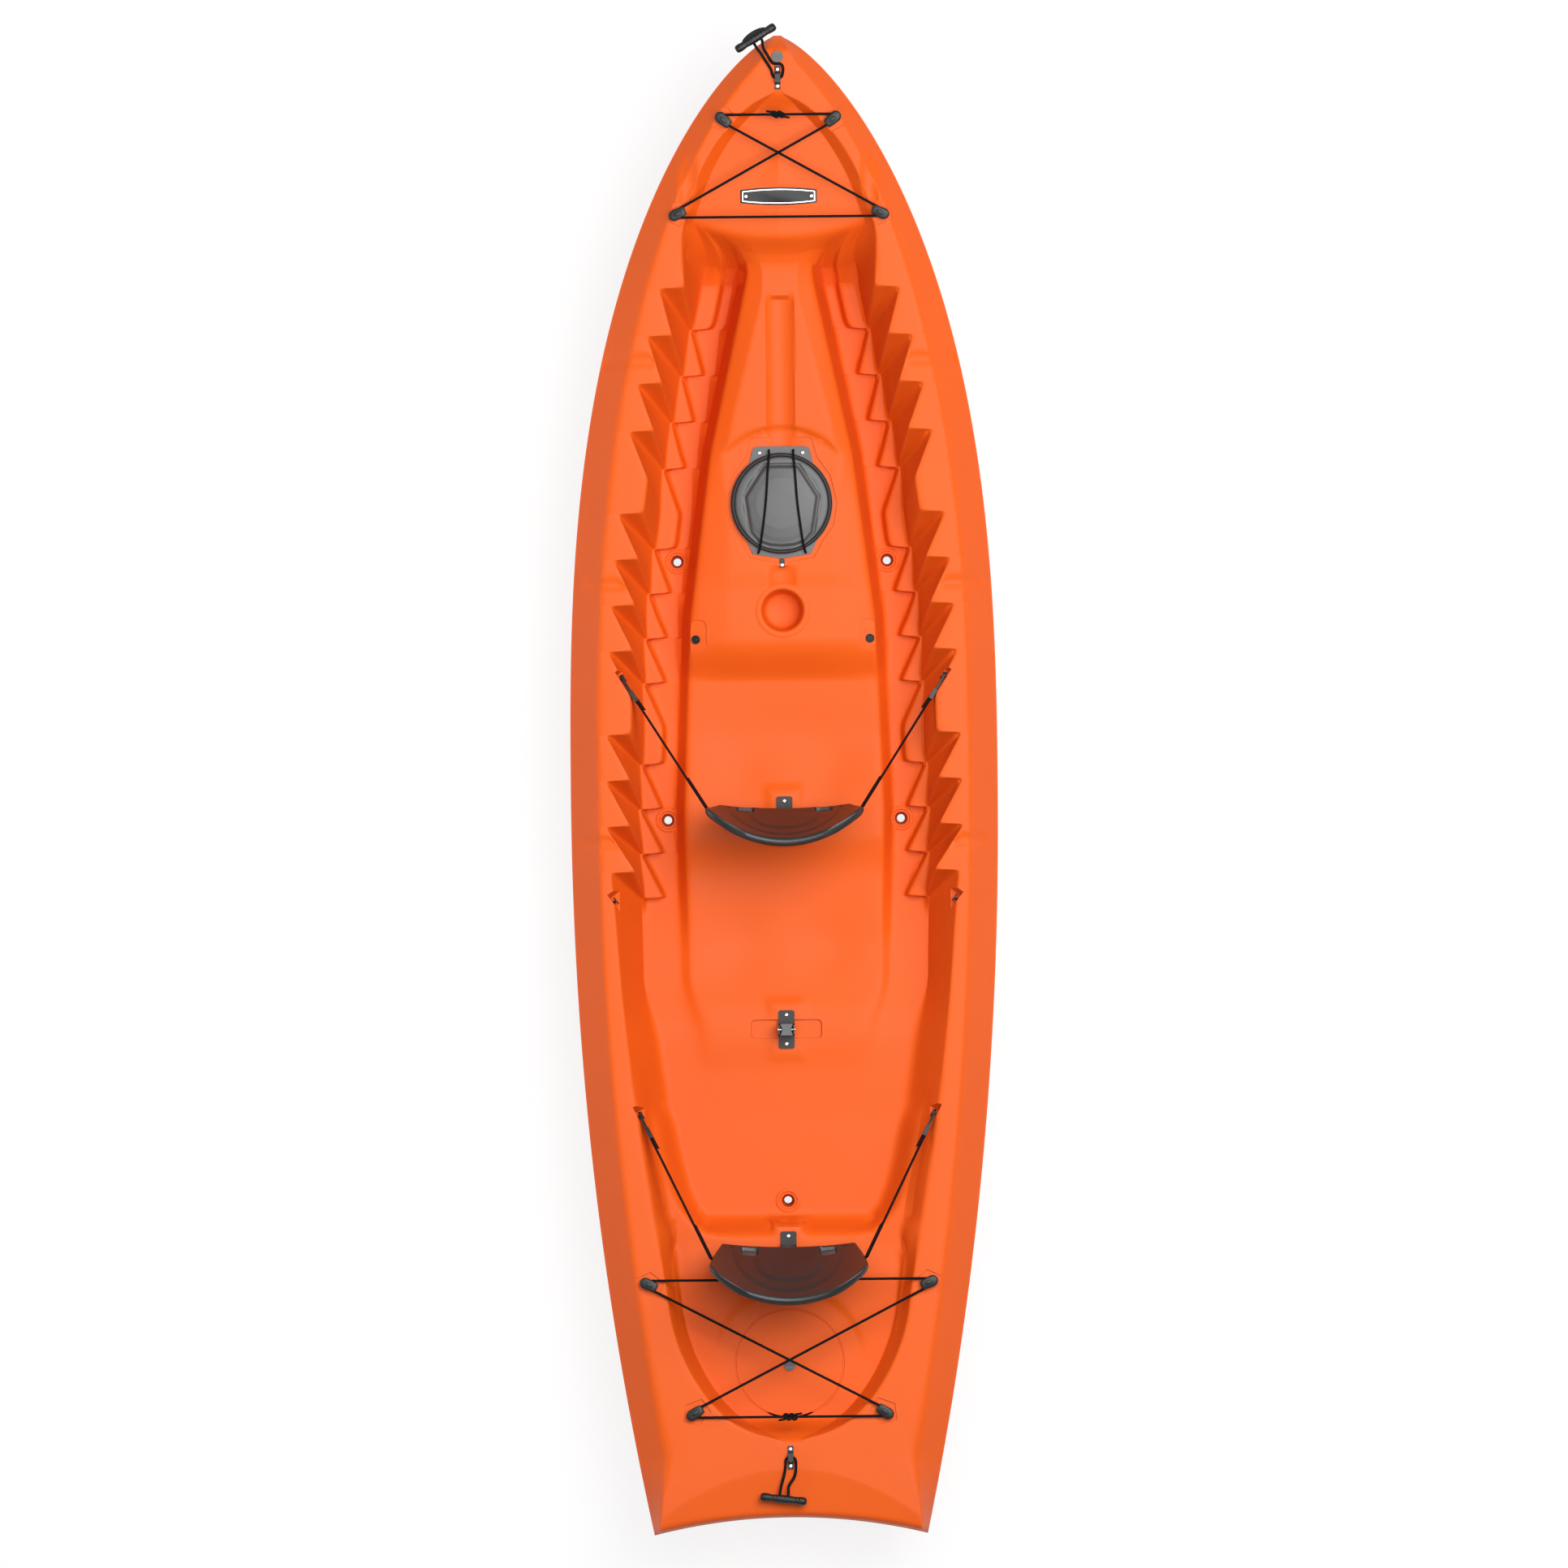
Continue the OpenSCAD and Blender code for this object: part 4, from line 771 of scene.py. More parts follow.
def deck_surface():
    g = deck_grid()
    y, a = g[..., 1], np.abs(g[..., 0])
    # The lip of the bow well bends aft at the centre line
    lip = np.clip(1 - np.abs(y - 1150) / 90, 0, 1) * (g[..., 2] < 330) * soft(230, 206, a)
    g[..., 1] += 40 * np.clip(a / 190, 0, 1) ** 2 * soft(0, 1, lip)
    free = free_points(g)
    g = relax(g, 7, free)
    y = g[..., 1]
    g = relax(g, 30, free * soft(-400, -520, y) * soft(-1100, -960, y) * (g[..., 2] < 285) * inboard(a, y))
    y = g[..., 1]
    g = relax(g, 28, free * soft(345, 300, y) * soft(-480, -400, y) * soft(196, 176, np.abs(g[..., 0])))
    g = rear_seat(g)
    y = g[..., 1]
    g = relax(g, 4, free * (y < -620) * (y > -1010) * inboard(a, y))
    return seated(carve(g)), a


def make_deck():
    g, a = deck_surface()
    inner = g.copy()
    inner[..., 2] -= WALL
    edge = np.clip((a - (half_width_at(g[..., 1]) - 60)) / 50, 0, 1)
    inner[..., 0] -= np.sign(g[..., 0]) * WALL * edge
    inner[..., 2] += WALL * edge * 0.9
    close_ends(inner, g)
    for i, side in ((0, 1), (-1, -1)):
        inner[:, i, 0] = g[:, i, 0] + side * WALL
    deck = shell("deck", g, inner)
    # The skin is thicker where fittings are let into it
    under = shell("under", g - np.array([0, 0, 1.5]), g - np.array([0, 0, 150]))
    turns = [strap_frame(seat, port) for seat in STUDS for port in (False, True)]
    bosses = [cube("n", (-21, -25, -21), (70, 4, 60), m) for m in turns]
    bosses.append(prism("seat", hatch_outline(1.16), -16, 30, hatch_frame))
    bosses.append(cube("slot", (-92, -34, -22), (92, 34, 30), SLOT))
    bosses.append(cube("plate", (-98, -34, -16), (98, 34, 30), plate_frame()))
    bosses += [cube("button", (-30, -52, -16), (30, 52, 30), button_niche(side)) for side in (1, -1)]
    combine(under, bosses, "INTERSECT")
    combine(deck, [under], "UNION")
    cutters = [cube("n", (-17, -70, -17.2), (66, 0, 60), m) for m in turns]
    hole = [(0, -14), (18.1, -14), (18.1, 1.5), (22, 3.5), (22, 30), (0, 30)]
    cutters += [lathe("s", hole, move(place), 40) for place in SCUPPERS]
    pocket = [(26, 0), (4, 26), (-33, 17), (-33, -17), (4, -26)]
    cutters += [prism("h", pocket, -3.2, 30, m, taper=6) for m in hook_frames.values()]
    cutters.append(prism("seat", hatch_outline(1.07), 0, 40, hatch_frame, taper=6))
    cutters.append(cylinder("cup", 50, -20, 20, move(CUP), 64))
    for m in (on_gunwale(0, BOW - 46), move((0, -1239, TANK_FLOOR))):
        cutters.append(cylinder("plug", PLUG_BORE_R, -30, 30, m, 32))
    cutters.append(prism("slot", rounded(150, 40, 10), -8, 30, SLOT, taper=7))
    cutters += [prism("button", rounded(36, 84, 15), -4, 30, button_niche(side), taper=5) for side in (1, -1)]
    cutters.append(prism("plate", rounded(176, 50, 6), -3, 30, plate_frame(), taper=5))
    combine(deck, cutters)
    # The bore overlaps the recess round the hatch, so it is cut by itself
    combine(deck, [cylinder("bore", BORE_R, -60, 60, hatch_frame, 64)])
    ring = [[(x, y + RING_Y, TANK_FLOOR + z) for x, y in circle(r, 120)]
            for r, z in ((113, 2), (118, 2), (116.8, -2.4), (114.2, -2.4), (113, 2))]
    combine(deck, [outward(loft("groove", ring, caps=False), merge=True)])
    dress(deck, "kayak", orange, ["deck_shell"], angle=38)


def button_frame(side):
    """Where a round insert sits on the sloping top of the console."""
    return move((side * 187, 314, 195.5)) @ turned(2.6, "X") @ turned(side * 9.8, "Y")


def button_niche(side):
    return button_frame(side) @ move((-side * 6, 0, 0))


def plate_frame():
    y = 1258
    tilt = atan((floor_z(y + 10) - floor_z(y - 10)) / 20)
    return move((0, y, floor_z(y) + 2.5)) @ Matrix.Rotation(tilt, 4, "X")


# Hull
SECTION_X = [0, 0.06, 0.15, 0.22, 0.30, 0.45, 0.60, 0.76, 0.91, 0.98, 1]
SECTION_Z = [0.10, 0.10, 0.085, 0, 0, 0, 0.03, 0.13, 0.38, 0.72, 1]


def keel_z(v):
    if v > 950:
        return 235 * ((v - 950) / 650) ** 2.6
    return 60 * ((-1100 - v) / 500) ** 2 if v < -1100 else 0


def make_hull():
    rows = []
    y = BOW
    while y > STERN:
        rows.append(y)
        y -= 3 if y > 1570 or y < -1570 else 12
    half = []
    for v in rows + [STERN]:
        end = v >= BOW or v <= STERN
        line = []
        for t in np.linspace(0, 10, 61):
            x = (t / 10 if end else np.interp(t, range(11), SECTION_X)) * half_beam(v)
            z = seam_z(v) if end else mix(keel_z(v), seam_z(v), np.interp(t, range(11), SECTION_Z))
            line.append((x, v + stern_shift(x, v), z))
        half.append(line)
    g = mirrored(np.array(half))
    low = g[..., 2].min()
    g = relax(g, 8, free_points(g))
    g[..., 2] = np.maximum(g[..., 2], low)
    inner = g.copy()
    inner[..., 2] += WALL
    inner[..., 0] *= (half_width_at(g[..., 1]) - WALL) / half_width_at(g[..., 1])
    close_ends(inner, g)
    hull = shell("hull", g, inner, flip=True)
    combine(hull, [cylinder("s", 12.7, -60, 60, move((x, y, 20)), 36) for x, y, _ in SCUPPERS])
    dress(hull, "kayak", orange, ["hull_shell"])


def make_lips():
    """Rolled rims round the scupper holes."""
    profile = [(18.3, -3), (18.3, 0.4), (19.4, 1.9), (21.4, 2.6), (23.6, 2.2), (26, 0.8), (29, -0.6), (29, -3),
               (18.3, -3)]
    parts = [lathe("lip", profile, move(place), 48) for place in SCUPPERS]
    dress(joined("scupper_lips", parts), "kayak", orange, ["deck_shell"], angle=60)


def make_cup():
    profile = [(0, -65), (34, -65), (38, -63), (41, -60), (47, -4), (57, -3), (59, -1.2), (56, 0.9), (52, 1.8),
               (48, 1.4), (45.4, -0.6), (44, -4), (38.5, -56), (36, -60), (33, -61.6), (0, -62)]
    dress(lathe("cup_holder", profile, move(CUP), 96), "kayak", orange, ["deck_shell"])


# Cords
WRAP_R = 6.75
CORD_LIFT = 6.05
CROSS_LIFT = 3.3


def wrapped(p, start, end, way):
    """Points round a hook's post, from one heading to the next."""
    turn = (end - start) % (2 * pi) if way > 0 else -((start - end) % (2 * pi))
    angles = [start - way * pi / 2 + turn * k / 8 for k in range(9)]
    return [Vector((p[0] + WRAP_R * cos(a), p[1] + WRAP_R * sin(a), gunwale_z(p[1]) + CORD_LIFT))
            for a in angles]


def knot_place(k, way):
    return Vector((0, k[1] - way * WRAP_R, gunwale_z(k[1]) + CORD_LIFT))


def lash_route(k, o, way):
    """From the knot round the four hooks and back; k is a hook of the knotted run and o one of the other."""
    k2, o2 = (-k[0], k[1]), (-o[0], o[1])
    d, e = heading(o2, k), heading(k2, o)
    a, b, c, f = wrapped(k, 0, d, way), wrapped(o2, d, 0, -way), wrapped(o, 0, e, -way), wrapped(k2, e, 0, way)
    over, under = (a[-1] + b[0]) / 2, (c[-1] + f[0]) / 2
    knot, up, half = knot_place(k, way), Vector((0, 0, CROSS_LIFT)), Vector((8, 0, 0))
    route = [knot + half] + a + [over + up] + b + c + [under - up] + f + [knot - half]
    out = []
    for p, q in zip(route[:-1], route[1:]):
        n = max(1, ceil((q - p).length / 22))
        out += [p + (q - p) * i / n for i in range(n)]
    return out + [route[-1]]


def make_cord(name, route, diameter, body, node):
    route = [Vector(p) for p in route]
    made = dress(tube(name, route, diameter / 2, 14, dome=False), body, cord_black, [node])
    return made


def torus(name, matrix, ring, thick):
    loops = []
    for c, s in circle(1, 32) + [(1, 0)]:
        loops.append(placed([((ring + x) * c, (ring + x) * s, z) for x, z in circle(thick, 12)], matrix))
    return outward(loft(name, loops, caps=False), merge=True)


def make_knot(name, place, node, way):
    """Four turns of the cord and its two cut ends."""
    m = move(place)
    parts = []
    for x, y, lean in ((-9, 1.6, 32), (-3, -1.6, -32), (3, 1.6, 32), (9, -1.6, -32)):
        parts.append(torus("ring", m @ move((x, y, 0)) @ turned(lean, "X"), 4.8, 2.7))
    for side in (1, -1):
        tail = [(side * x, -way * side * y, z) for x, y, z in ((9, 4, 2), (14, 5.5, 2.5), (19, 6, 1), (23, 7, 0))]
        parts.append(tube("tail", placed(smooth_route(tail, 2), m), 2.4, 12))
    return dress(joined(name, parts), "kayak", cord_black, [node])


bow_knot = make_knot("bow_knot", knot_place(BOW_HOOKS[0], -1), "bow_lashing_knot", 1)
stern_knot = make_knot("stern_knot", knot_place(STERN_HOOKS[2], 1), "stern_lashing_knot", -1)
make_cord("bow_bungee", lash_route(BOW_HOOKS[0], BOW_HOOKS[2], -1), 5.5, "kayak", "bow_lashing")
make_cord("stern_bungee", lash_route(STERN_HOOKS[2], STERN_HOOKS[0], 1), 5.5, "kayak", "stern_lashing")
LID_CORD = [(26, 114, 5.4), (26, 110, 16), (26, 101, 21.6), (29, 70, 28.2), (34, 0, 31.9), (43, -70, 27.8),
            (47, -93, 21.6), (49, -101, 15.5), (51, -106, 5.4)]
for side, name in ((1, "starboard"), (-1, "port")):
    route = [(side * x, HATCH[1] + y, HATCH[2] + z) for x, y, z in LID_CORD]
    make_cord("lid_cord_" + name, smooth_route(route, 5), 5, "hatch_lid", "hatch_cords")

GRIPS = {"bow": ((-46, 1594, 370), 31.5), "stern": ((-16, -1522, gunwale_z(-1522) + 9.4), -7)}
EYES = {"bow": 1509, "stern": -1434}
HANDLE_CORDS = {
    "bow": [(-30, 64, 2.5), (-21, 48, 4.5), (-13, 34, 5), (-5, 29.4, 5.2), (6, 29.2, 4.9), (11.8, 21.5, 4.2),
            (10.5, 6, 4.4), (6, 0, 5), (-6, 0, 5), (-10.5, 6, 4.4), (-14, 18, 4.1), (-24, 34, 4.4), (-34, 50, 2.9),
            (-43, 62, 0.7)],
    "stern": [(-4, -60, 5.6), (8, -40, 3.9), (11, -22, 4.1), (10.5, -6, 4.8), (6, 0, 5), (-6, 0, 5), (-10.5, -6, 4.8),
              (-11, -18, 4.3), (-14, -36, 4.1), (-20, -58, 5.7)]}


def grip_frame(end):
    place, turn = GRIPS[end]
    return move(place) @ turned(turn, "Z")


def make_grip(end):
    """A waisted grip with two rows of bumps along its top."""
    half, r = 49.5, 9.0
    waist = [(9, 1), (25, 0.84), (half - 12, 1), (half - 5, 0.97), (half - 1.5, 0.78), (half, 0.45)]
    xs = np.concatenate([np.linspace(-half, -half + 6, 8)[:-1], np.linspace(-half + 6, half - 6, 88),
                         np.linspace(half - 6, half, 8)[1:]])
    loops = []
    for x in xs:
        ring = []
        for k in range(44):
            t = 2 * pi * k / 44
            base = r * np.interp(abs(x), *zip(*waist))
            for row in (radians(58), radians(122)):
                for bump in np.arange(-36, 37, 8.0):
                    base += 1.0 * exp(-((x - bump) ** 2 + (r * (t - row)) ** 2) / 5.5)
            ring.append((x, base * cos(t), base * sin(t)))
        loops.append(placed(ring, grip_frame(end)))
    parts = [loft("grip", loops)]
    if end == "bow":
        arc = [(34 * cos(radians(a)), 1 + 15 * sin(radians(a))) for a in range(0, 181, 12)]
        parts.append(prism("fin", arc, -3, 3, grip_frame(end), edge=1.2))
    return dress(joined(end + "_grip", parts), end + "_handle", black, [end + "_handle_grip"], angle=50)


for end, back in (("bow", 1), ("stern", -1)):
    grip = make_grip(end)
    m = grip_frame(end)
    route = [m @ Vector((9, 0, 0)), m @ Vector((9, -back * 12, 0))]
    for x, y, z in HANDLE_CORDS[end]:
        route.append(Vector((x, EYES[end] + y, gunwale_z(EYES[end] + y) + z)))
    route += [m @ Vector((-9, -back * 12, 0)), m @ Vector((-9, 0, 0))]
    make_cord(end + "_rope", smooth_route(route, 4), 6, end + "_handle", end + "_handle_cord")


# Small fittings
def rivet_parts(frames):
    profile = [(0, 0), (4.5, 0), (4.5, 0.7), (4.3, 1.2), (3.7, 1.7), (2.7, 2.1), (1.7, 2.3), (1.5, 2.2), (1.3, 1.8),
               (0, 1.8)]
    return [lathe("rivet", profile, m, 24) for m in frames]


def lifted(frame, x, y, z):
    return frame @ move((x, y, z))


hook_frames = {}
for end, hooks, middle in (("bow", BOW_HOOKS, BOW_MIDDLE), ("stern", STERN_HOOKS, STERN_MIDDLE)):
    for p, side, place in zip(hooks, ("starboard", "port") * 2, ("front", "front", "rear", "rear")):
        hook_frames[end + "_hook_" + side + "_" + place] = on_gunwale(*p, turn=heading(p, middle))
hatch_frame = move(HATCH)
RIVETS = {
    "hatch_rivets": [lifted(hatch_frame, *p) for p in ((46, 108, 4), (-46, 108, 4), (0, -132, 3))],
    "hook_rivets": [lifted(m, -15, 0, 0.5) for m in hook_frames.values()],
    "pad_eye_rivets": [lifted(on_gunwale(0, y), 0, side * 18, 3.3) for y in EYES.values() for side in (1, -1)],
    "name_plate_rivets": [lifted(plate_frame(), side * 70, 0, -0.2) for side in (1, -1)],
    "bracket_rivets": [move((0, place[1] + side * 31, place[2] + 4)) for place, _ in SEATS.values()
                       for side in (1, -1)]}
for name, frames in RIVETS.items():
    dress(joined(name + "_domed", rivet_parts(frames)), "kayak", steel, [name], angle=50)


HOOD_FOOT = -3.4


def make_hood(node, m):
    """A lashing hook: foot, post, and a domed hood with a skirt round its outer end."""
    outer = [(3 + 13 * cos(a), 12 * sin(a)) for a in np.linspace(-pi / 2, pi / 2, 17)]
    cover = outer + [(-12, 11), (-20, 9.6), (-23, 8), (-23, -8), (-20, -9.6), (-12, -11)]
    foot = [(x * 0.94, y * 0.92) for x, y in cover]
    parts = [prism("foot", foot, HOOD_FOOT, 0.4, m, edge=0.8), cylinder("post", 3.4, 0, 10, m, 24),
             prism("cover", cover, 9.2, 13.2, m, edge=3.2)]
    boss = [(-5 + 9 * x, 4.4 * y) for x, y in circle(1, 28)]
    parts.append(prism("boss", boss, 12, 14.6, m, edge=1.4))
    spread = np.radians(np.linspace(-72, 72, 19))
    wall = [(3 + 12.6 * cos(a), 11.6 * sin(a)) for a in spread]
    wall += [(3 + 9.9 * cos(a), 9.0 * sin(a)) for a in spread[::-1]]
    parts.append(prism("skirt", wall, HOOD_FOOT, 10.5, m))
    dress(joined(node + "_hood", parts), "kayak", black, [node], angle=48)


for node, m in hook_frames.items():
    make_hood(node, m)


# Hatch lid: dished disc with a raised fan panel, and a rubber ring round it
FAN = [(-35, 78), (35, 78), (75, 14), (64, -61), (48, -80), (25, -88), (0, -90), (-25, -88), (-48, -80), (-64, -61),
       (-75, 14)]


def outside(points, polygon):
    """Distance of each point from a convex polygon's edge, negative inside it."""
    polygon = np.array(polygon, float)
    turn = np.sign(np.cross(polygon[1] - polygon[0], polygon[2] - polygon[1]))
    far = np.full(len(points), -1e9)
    for a, b in zip(polygon, np.roll(polygon, -1, axis=0)):
        d = (b - a) / np.linalg.norm(b - a)
        far = np.maximum(far, turn * (d[1] * (points[:, 0] - a[0]) - d[0] * (points[:, 1] - a[1])))
    return far


def make_lid():
    lid = move((HATCH[0], HATCH[1], 217))
    profile = [(0, 19.4), (30, 19.0), (54, 17.6), (74, 14.8), (84, 12.8), (92, 12.2), (97, 11.6), (99.6, 10),
               (100.2, 7.5)]
    angles = np.linspace(0, 2 * pi, 216, endpoint=False)
    loops = []
    for r in np.concatenate([[0.01], np.linspace(2, 96, 60), [97.5, 98.6, 99.4, 100, 100.2]]):
        xy = np.stack([r * np.cos(angles), r * np.sin(angles)], axis=1)
        far = outside(xy, FAN)
        z = np.full(len(angles), np.interp(r, *zip(*profile)))
        z += 2.0 * soft(1.5, -3, far) - 2.6 * np.exp(-((far - 4) / 3.0) ** 2)
        z -= 1.2 * np.exp(-((r - 82) / 2.2) ** 2) * soft(6, 14, far)
        loops.append(placed([(q[0], q[1], h) for q, h in zip(xy, z)], lid))
    loops.append(placed([(q[0], q[1], 2) for q in xy], lid))
    disc = outward(loft("hatch_cover", loops), merge=True)
    dress(disc, "hatch_lid", grey, ["hatch_lid"], angle=60)
    ring = lathe("hatch_ring", [(100.4, 0.3), (100.4, 9.2), (101.4, 10.6), (103.4, 11.2), (105.6, 10.6), (107.2, 8.8),
                                (107.9, 6), (107.9, 0.3), (100.4, 0.3)], lid, 120)
    dress(ring, "hatch_lid", rubber, ["hatch_lid"], angle=60)


make_lid()


# Bare plate in the bow well, with a pale border
def barrel(width, length, bulge):
    top = [(x, length / 2 + bulge * (1 - (2 * x / width) ** 2)) for x in np.linspace(width / 2, -width / 2, 25)]
    return top + [(-x, -y) for x, y in top]


dress(prism("bare_plate", barrel(163, 28, 5), -3.2, -0.4, plate_frame(), edge=0.8), "kayak", black, ["name_plate"])
outer, inner = barrel(155, 21.6, 4.7), barrel(151.4, 18.4, 4.6)
border = [placed([(x, y, z) for x, y in line], plate_frame())
          for line, z in ((outer, -0.45), (outer, -0.1), (inner, -0.1), (inner, -0.45), (outer, -0.45))]
border = outward(loft("plate_border", border, caps=False), merge=True)
dress(border, "kayak", steel, ["name_plate"])
button = [(0, -4), (9.5, -4), (9.5, -1.4), (9.1, -0.4), (8.2, 0), (7.0, -0.3), (6.2, -1.4), (5.4, -2.4), (3.6, -2.4),
          (3.0, -1.4), (2.0, -0.9), (0, -0.8)]
buttons = [lathe("button", button, button_frame(side), 36) for side in (1, -1)]
dress(joined("round_inserts", buttons), "kayak", black, ["deck_inserts"])


# Backrests
def make_backrest(seat):
    """A dished shell with a rounded rim, a raised panel, a groove round it and two pockets near its foot."""
    edge = 9.4
    ts = (1 - np.cos(np.linspace(0, pi, 92))) / 2
    shares = np.sin(np.linspace(-pi / 2, pi / 2, 131))
    m = backrest_frame(seat)
    front, back = [], []
    for t in ts:
        wide, up = back_half_width(t), t * BACK_HEIGHT
        for share in shares:
            a = abs(share * wide)
            d = max(0.0, min((1 - abs(share)) * wide, (1 - t) * BACK_HEIGHT, up))
            roll = edge - sqrt(max(0, edge ** 2 - (edge - d) ** 2)) if d < edge else 0
            panel = ((a / 72) ** 3 + (max(0, up - 30) / 116) ** 3) ** (1 / 3)
            groove = ((a / 121) ** 2.6 + (max(0, up - 20) / 172) ** 2.6) ** (1 / 2.6)
            relief = -2.6 * soft(1.06, 0.94, panel)
            relief += 2.4 * exp(-((groove - 1) * 110 / 4.5) ** 2) * soft(10, 24, up)
            pocket = soft(0, 5, 20 - abs(a - POCKET_X)) * soft(0, 5, 18 - abs(up - 32))
            relief = relief * (1 - pocket) + 6.5 * pocket
            front.append(tuple(m @ back_point(t, share, roll + relief * soft(2, 14, d))))
            back.append(tuple(m @ back_point(t, share, 20 - roll - 2.0 * soft(16, 24, d))))
    rows, columns = len(ts), len(shares)
    n = rows * columns
    faces = grid_faces(rows, columns) + grid_faces(rows, columns, n, True)
    loop = [j * columns for j in range(rows)] + [(rows - 1) * columns + i for i in range(1, columns)]
    loop += [j * columns + columns - 1 for j in range(rows - 2, -1, -1)] + list(range(columns - 2, 0, -1))
    faces += [(a, b, b + n, a + n) for a, b in zip(loop, loop[1:] + loop[:1])]
    made = outward(build(seat + "_back", front + back, faces))
    arc = [(9 * cos(radians(a)), 9 * sin(radians(a))) for a in range(150, 301, 10)]
    outline = arc + [(11, -1), (13, 4), (13, 27), (6, 28), (-4, 14)]
    lug = prism("lug", outline, -13, 13, m @ turned(90, "Z") @ turned(90, "X"))
    made = joined(seat + "_backrest_shell", [made, lug])
    dress(made, seat + "_backrest", charcoal, [seat + "_backrest"], angle=45)


def make_pads(seat):
    """Grey pads in the two pockets."""
    t, depth = 0.14, 6.8
    parts = []
    for side in (1, -1):
        share = side * POCKET_X / back_half_width(t)
        p = back_point(t, share, depth)
        along = (back_point(t, share + 0.02, depth) - p).normalized()
        up = (back_point(0.18, share, depth) - p).normalized()
        out = along.cross(up)
        out = out if out.y > 0 else -out
        m = backrest_frame(seat) @ move(p) @ Matrix((along, up, out)).transposed().to_4x4()
        parts.append(prism("pad", rounded(33, 26, 6), -0.5, 1.6, m, edge=0.8))
    dress(joined(seat + "_pads", parts), seat + "_backrest", grey, [seat + "_backrest"])


for seat in BACKRESTS:
    make_backrest(seat)
    make_pads(seat)


# Straps: webbing from the adjuster to the wing, folded back and stitched there, and its free tail
def ribbon(name, line, width, thick, tilt, matrix):
    """A flat strip along a line of points, set on edge and tilted a little."""
    loops = []
    lean = radians(tilt)
    for x, y, z in line:
        loop = []
        for c, s in circle(1, 16):
            u = width / 2 * copysign(abs(c) ** 0.35, c)
            v = thick / 2 * copysign(abs(s) ** 0.6, s)
            loop.append((x, y + u * sin(lean) + v * cos(lean), z + u * cos(lean) - v * sin(lean)))
        loops.append(placed(loop, matrix))
    return loft(name, loops)


WEB_START = 50
for seat in BACKRESTS:
    _, start, end = strap_parts(seat)
    reach = (end - start).length - 3.8
    for port, side in ((False, "starboard"), (True, "port")):
        m = strap_frame(seat, port)
        line = [(x, -5, -2.5 * sin(pi * (x - WEB_START) / (reach - WEB_START)))
                for x in np.linspace(WEB_START, reach, 48)]
        fold = [(x, -7.4, z) for x, _, z in line[-14:]]
        tail = [(WEB_START + 4 * k, -7.6 - 0.12 * k, -0.3 * k) for k in range(9)]
        parts = [ribbon("web", line, 25, 2, 9, m), ribbon("fold", fold, 24.6, 2, 9, m),
                 ribbon("tail", tail, 24, 2, 14, m)]
        strap = dress(joined(seat + "_webbing_" + side, parts), None, webbing, [seat + "_strap_" + side], angle=60)
        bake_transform(strap)

# CAD pieces that stay as they are take a material and softened edges
KEPT = {"scupper_tubes": orange, "hatch_frame": grey, "hatch_gasket": rubber, "hatch_tether": black,
        "middle_bracket_cap": grey, "strap_studs": black}
for end in EYES:
    KEPT.update({end + "_plug": grey, end + "_plug_seal": rubber, end + "_pad_eye": black})
for seat in SEATS:
    KEPT.update({seat + "_bracket": black, seat + "_bracket_pin": steel})
for seat in BACKRESTS:
    for side in ("port", "starboard"):
        KEPT.update({seat + "_clip_" + side: black, seat + "_adjuster_" + side: black})
for name, look in KEPT.items():
    kept = frame["nodes"][name]
    kept.data.materials.clear()
    kept.data.materials.append(look)
    kept.modifiers.new("weld", "WELD").merge_threshold = 0.00001
    bevel = kept.modifiers.new("edges", "BEVEL")
    bevel.width, bevel.segments, bevel.limit_method, bevel.angle_limit = 0.0008, 2, "ANGLE", radians(40)

make_deck()
make_hull()
make_cup()
make_lips()

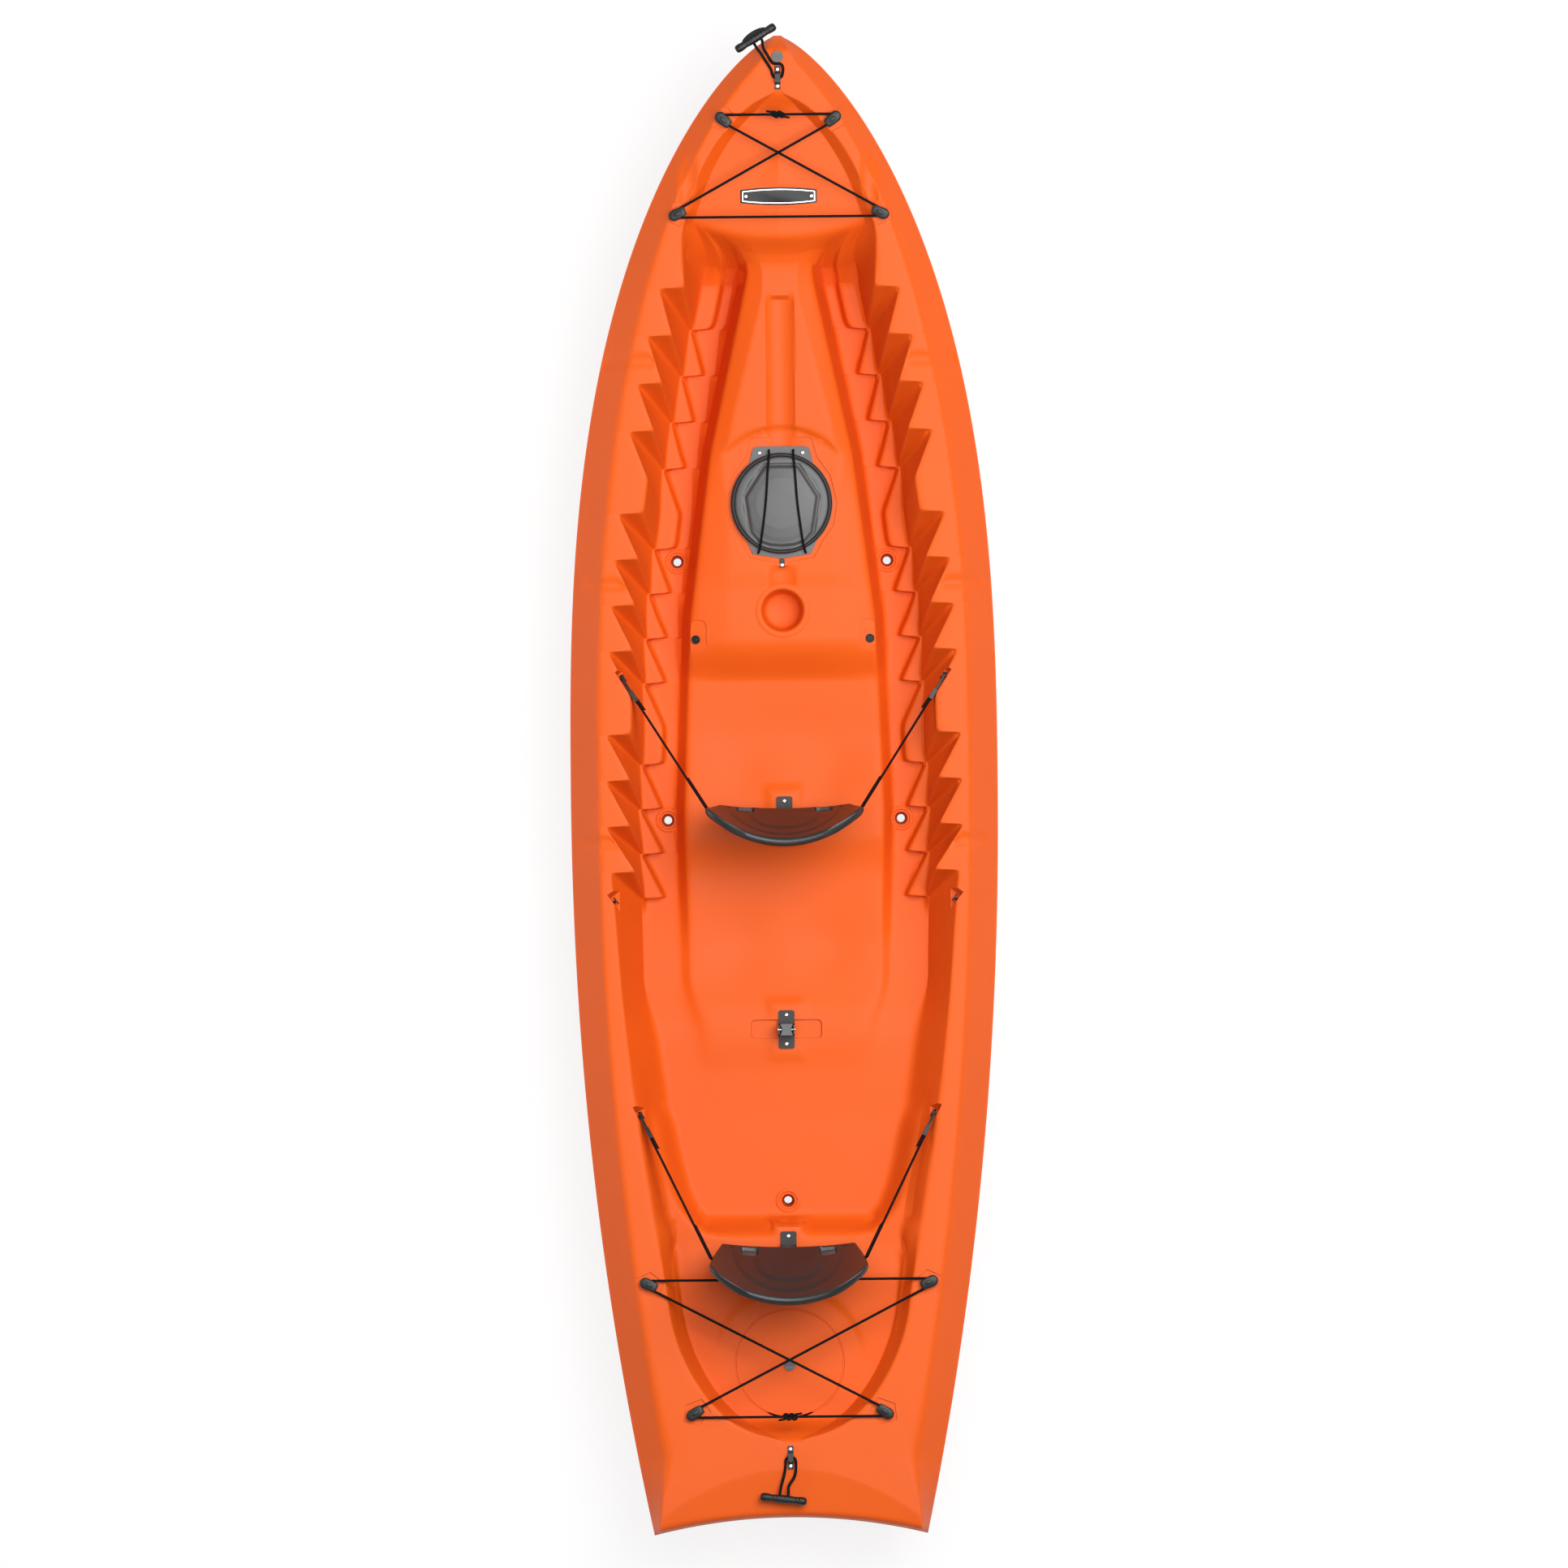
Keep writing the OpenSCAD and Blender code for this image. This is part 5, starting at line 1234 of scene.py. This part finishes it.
# Stage, light and camera
floor = build("floor", [(-60000, -60000, 0), (60000, -60000, 0), (60000, 60000, 0), (-60000, 60000, 0)], [(0, 1, 2, 3)])
floor.location.z = cad_low.z - 0.0006
pale, tree, shader = plain("pale_floor")
link = tree.links.new
for key, value in (("Base Color", (0.86, 0.86, 0.86, 1)), ("Roughness", 0.9), ("Specular IOR Level", 0.0)):
    shader.inputs[key].default_value = value
# The floor glows to the camera and in reflections, and is plain pale grey to all other light
path = node_of(tree, "ShaderNodeLightPath")
seen = path.outputs["Is Camera Ray"]
for ray in ("Is Glossy Ray", "Is Transmission Ray"):
    either = node_of(tree, "ShaderNodeMath", operation="MAXIMUM")
    link(seen, either.inputs[0])
    link(path.outputs[ray], either.inputs[1])
    seen = either.outputs["Value"]
share = node_of(tree, "ShaderNodeMath", operation="MULTIPLY")
link(seen, share.inputs[0])
share.inputs[1].default_value = 0.85
white = node_of(tree, "ShaderNodeEmission", Color=(1, 1, 1, 1), Strength=1.0)
mixed = node_of(tree, "ShaderNodeMixShader")
for output, socket in zip((share.outputs["Value"], shader.outputs["BSDF"], white.outputs["Emission"]), mixed.inputs):
    link(output, socket)
link(mixed.outputs["Shader"], tree.nodes["Material Output"].inputs["Surface"])
floor.data.materials.append(pale)

world = bpy.data.worlds.new("studio")
world.use_nodes = True
sky = world.node_tree.nodes["Background"].inputs
sky["Color"].default_value = (1, 1, 1, 1)
sky["Strength"].default_value = 0.22
scene.world = world


def area_light(name, place, size, power):
    """A round lamp that faces the middle of the boat."""
    data = bpy.data.lights.new(name, "AREA")
    data.shape, data.size, data.energy = "DISK", size, power
    lamp = added(name, data)
    lamp.location = place
    lamp.rotation_euler = (Vector((0, 0, 0.2)) - Vector(place)).to_track_quat("-Z", "Y").to_euler()
    lamp.visible_camera = False


area_light("key", (2.6, 1.8, 6.0), 4.5, 265)
area_light("top", (0.6, 0.4, 6.0), 5.0, 320)
area_light("side", (-6.0, 0.4, 1.3), 3.0, 90)

view = bpy.data.cameras.new("camera")
SENSOR = 36
DISTANCE = 40.0
FRAME_WIDTH = 3.352
view.sensor_width = SENSOR
view.lens = SENSOR * DISTANCE / FRAME_WIDTH
view.clip_end = 200
camera = added("camera", view)
camera.location = (-0.0005, 0.0035, DISTANCE + 0.25)
camera.rotation_euler = (0, 0, radians(-0.547))
scene.camera = camera
scene.view_settings.view_transform = "Standard"
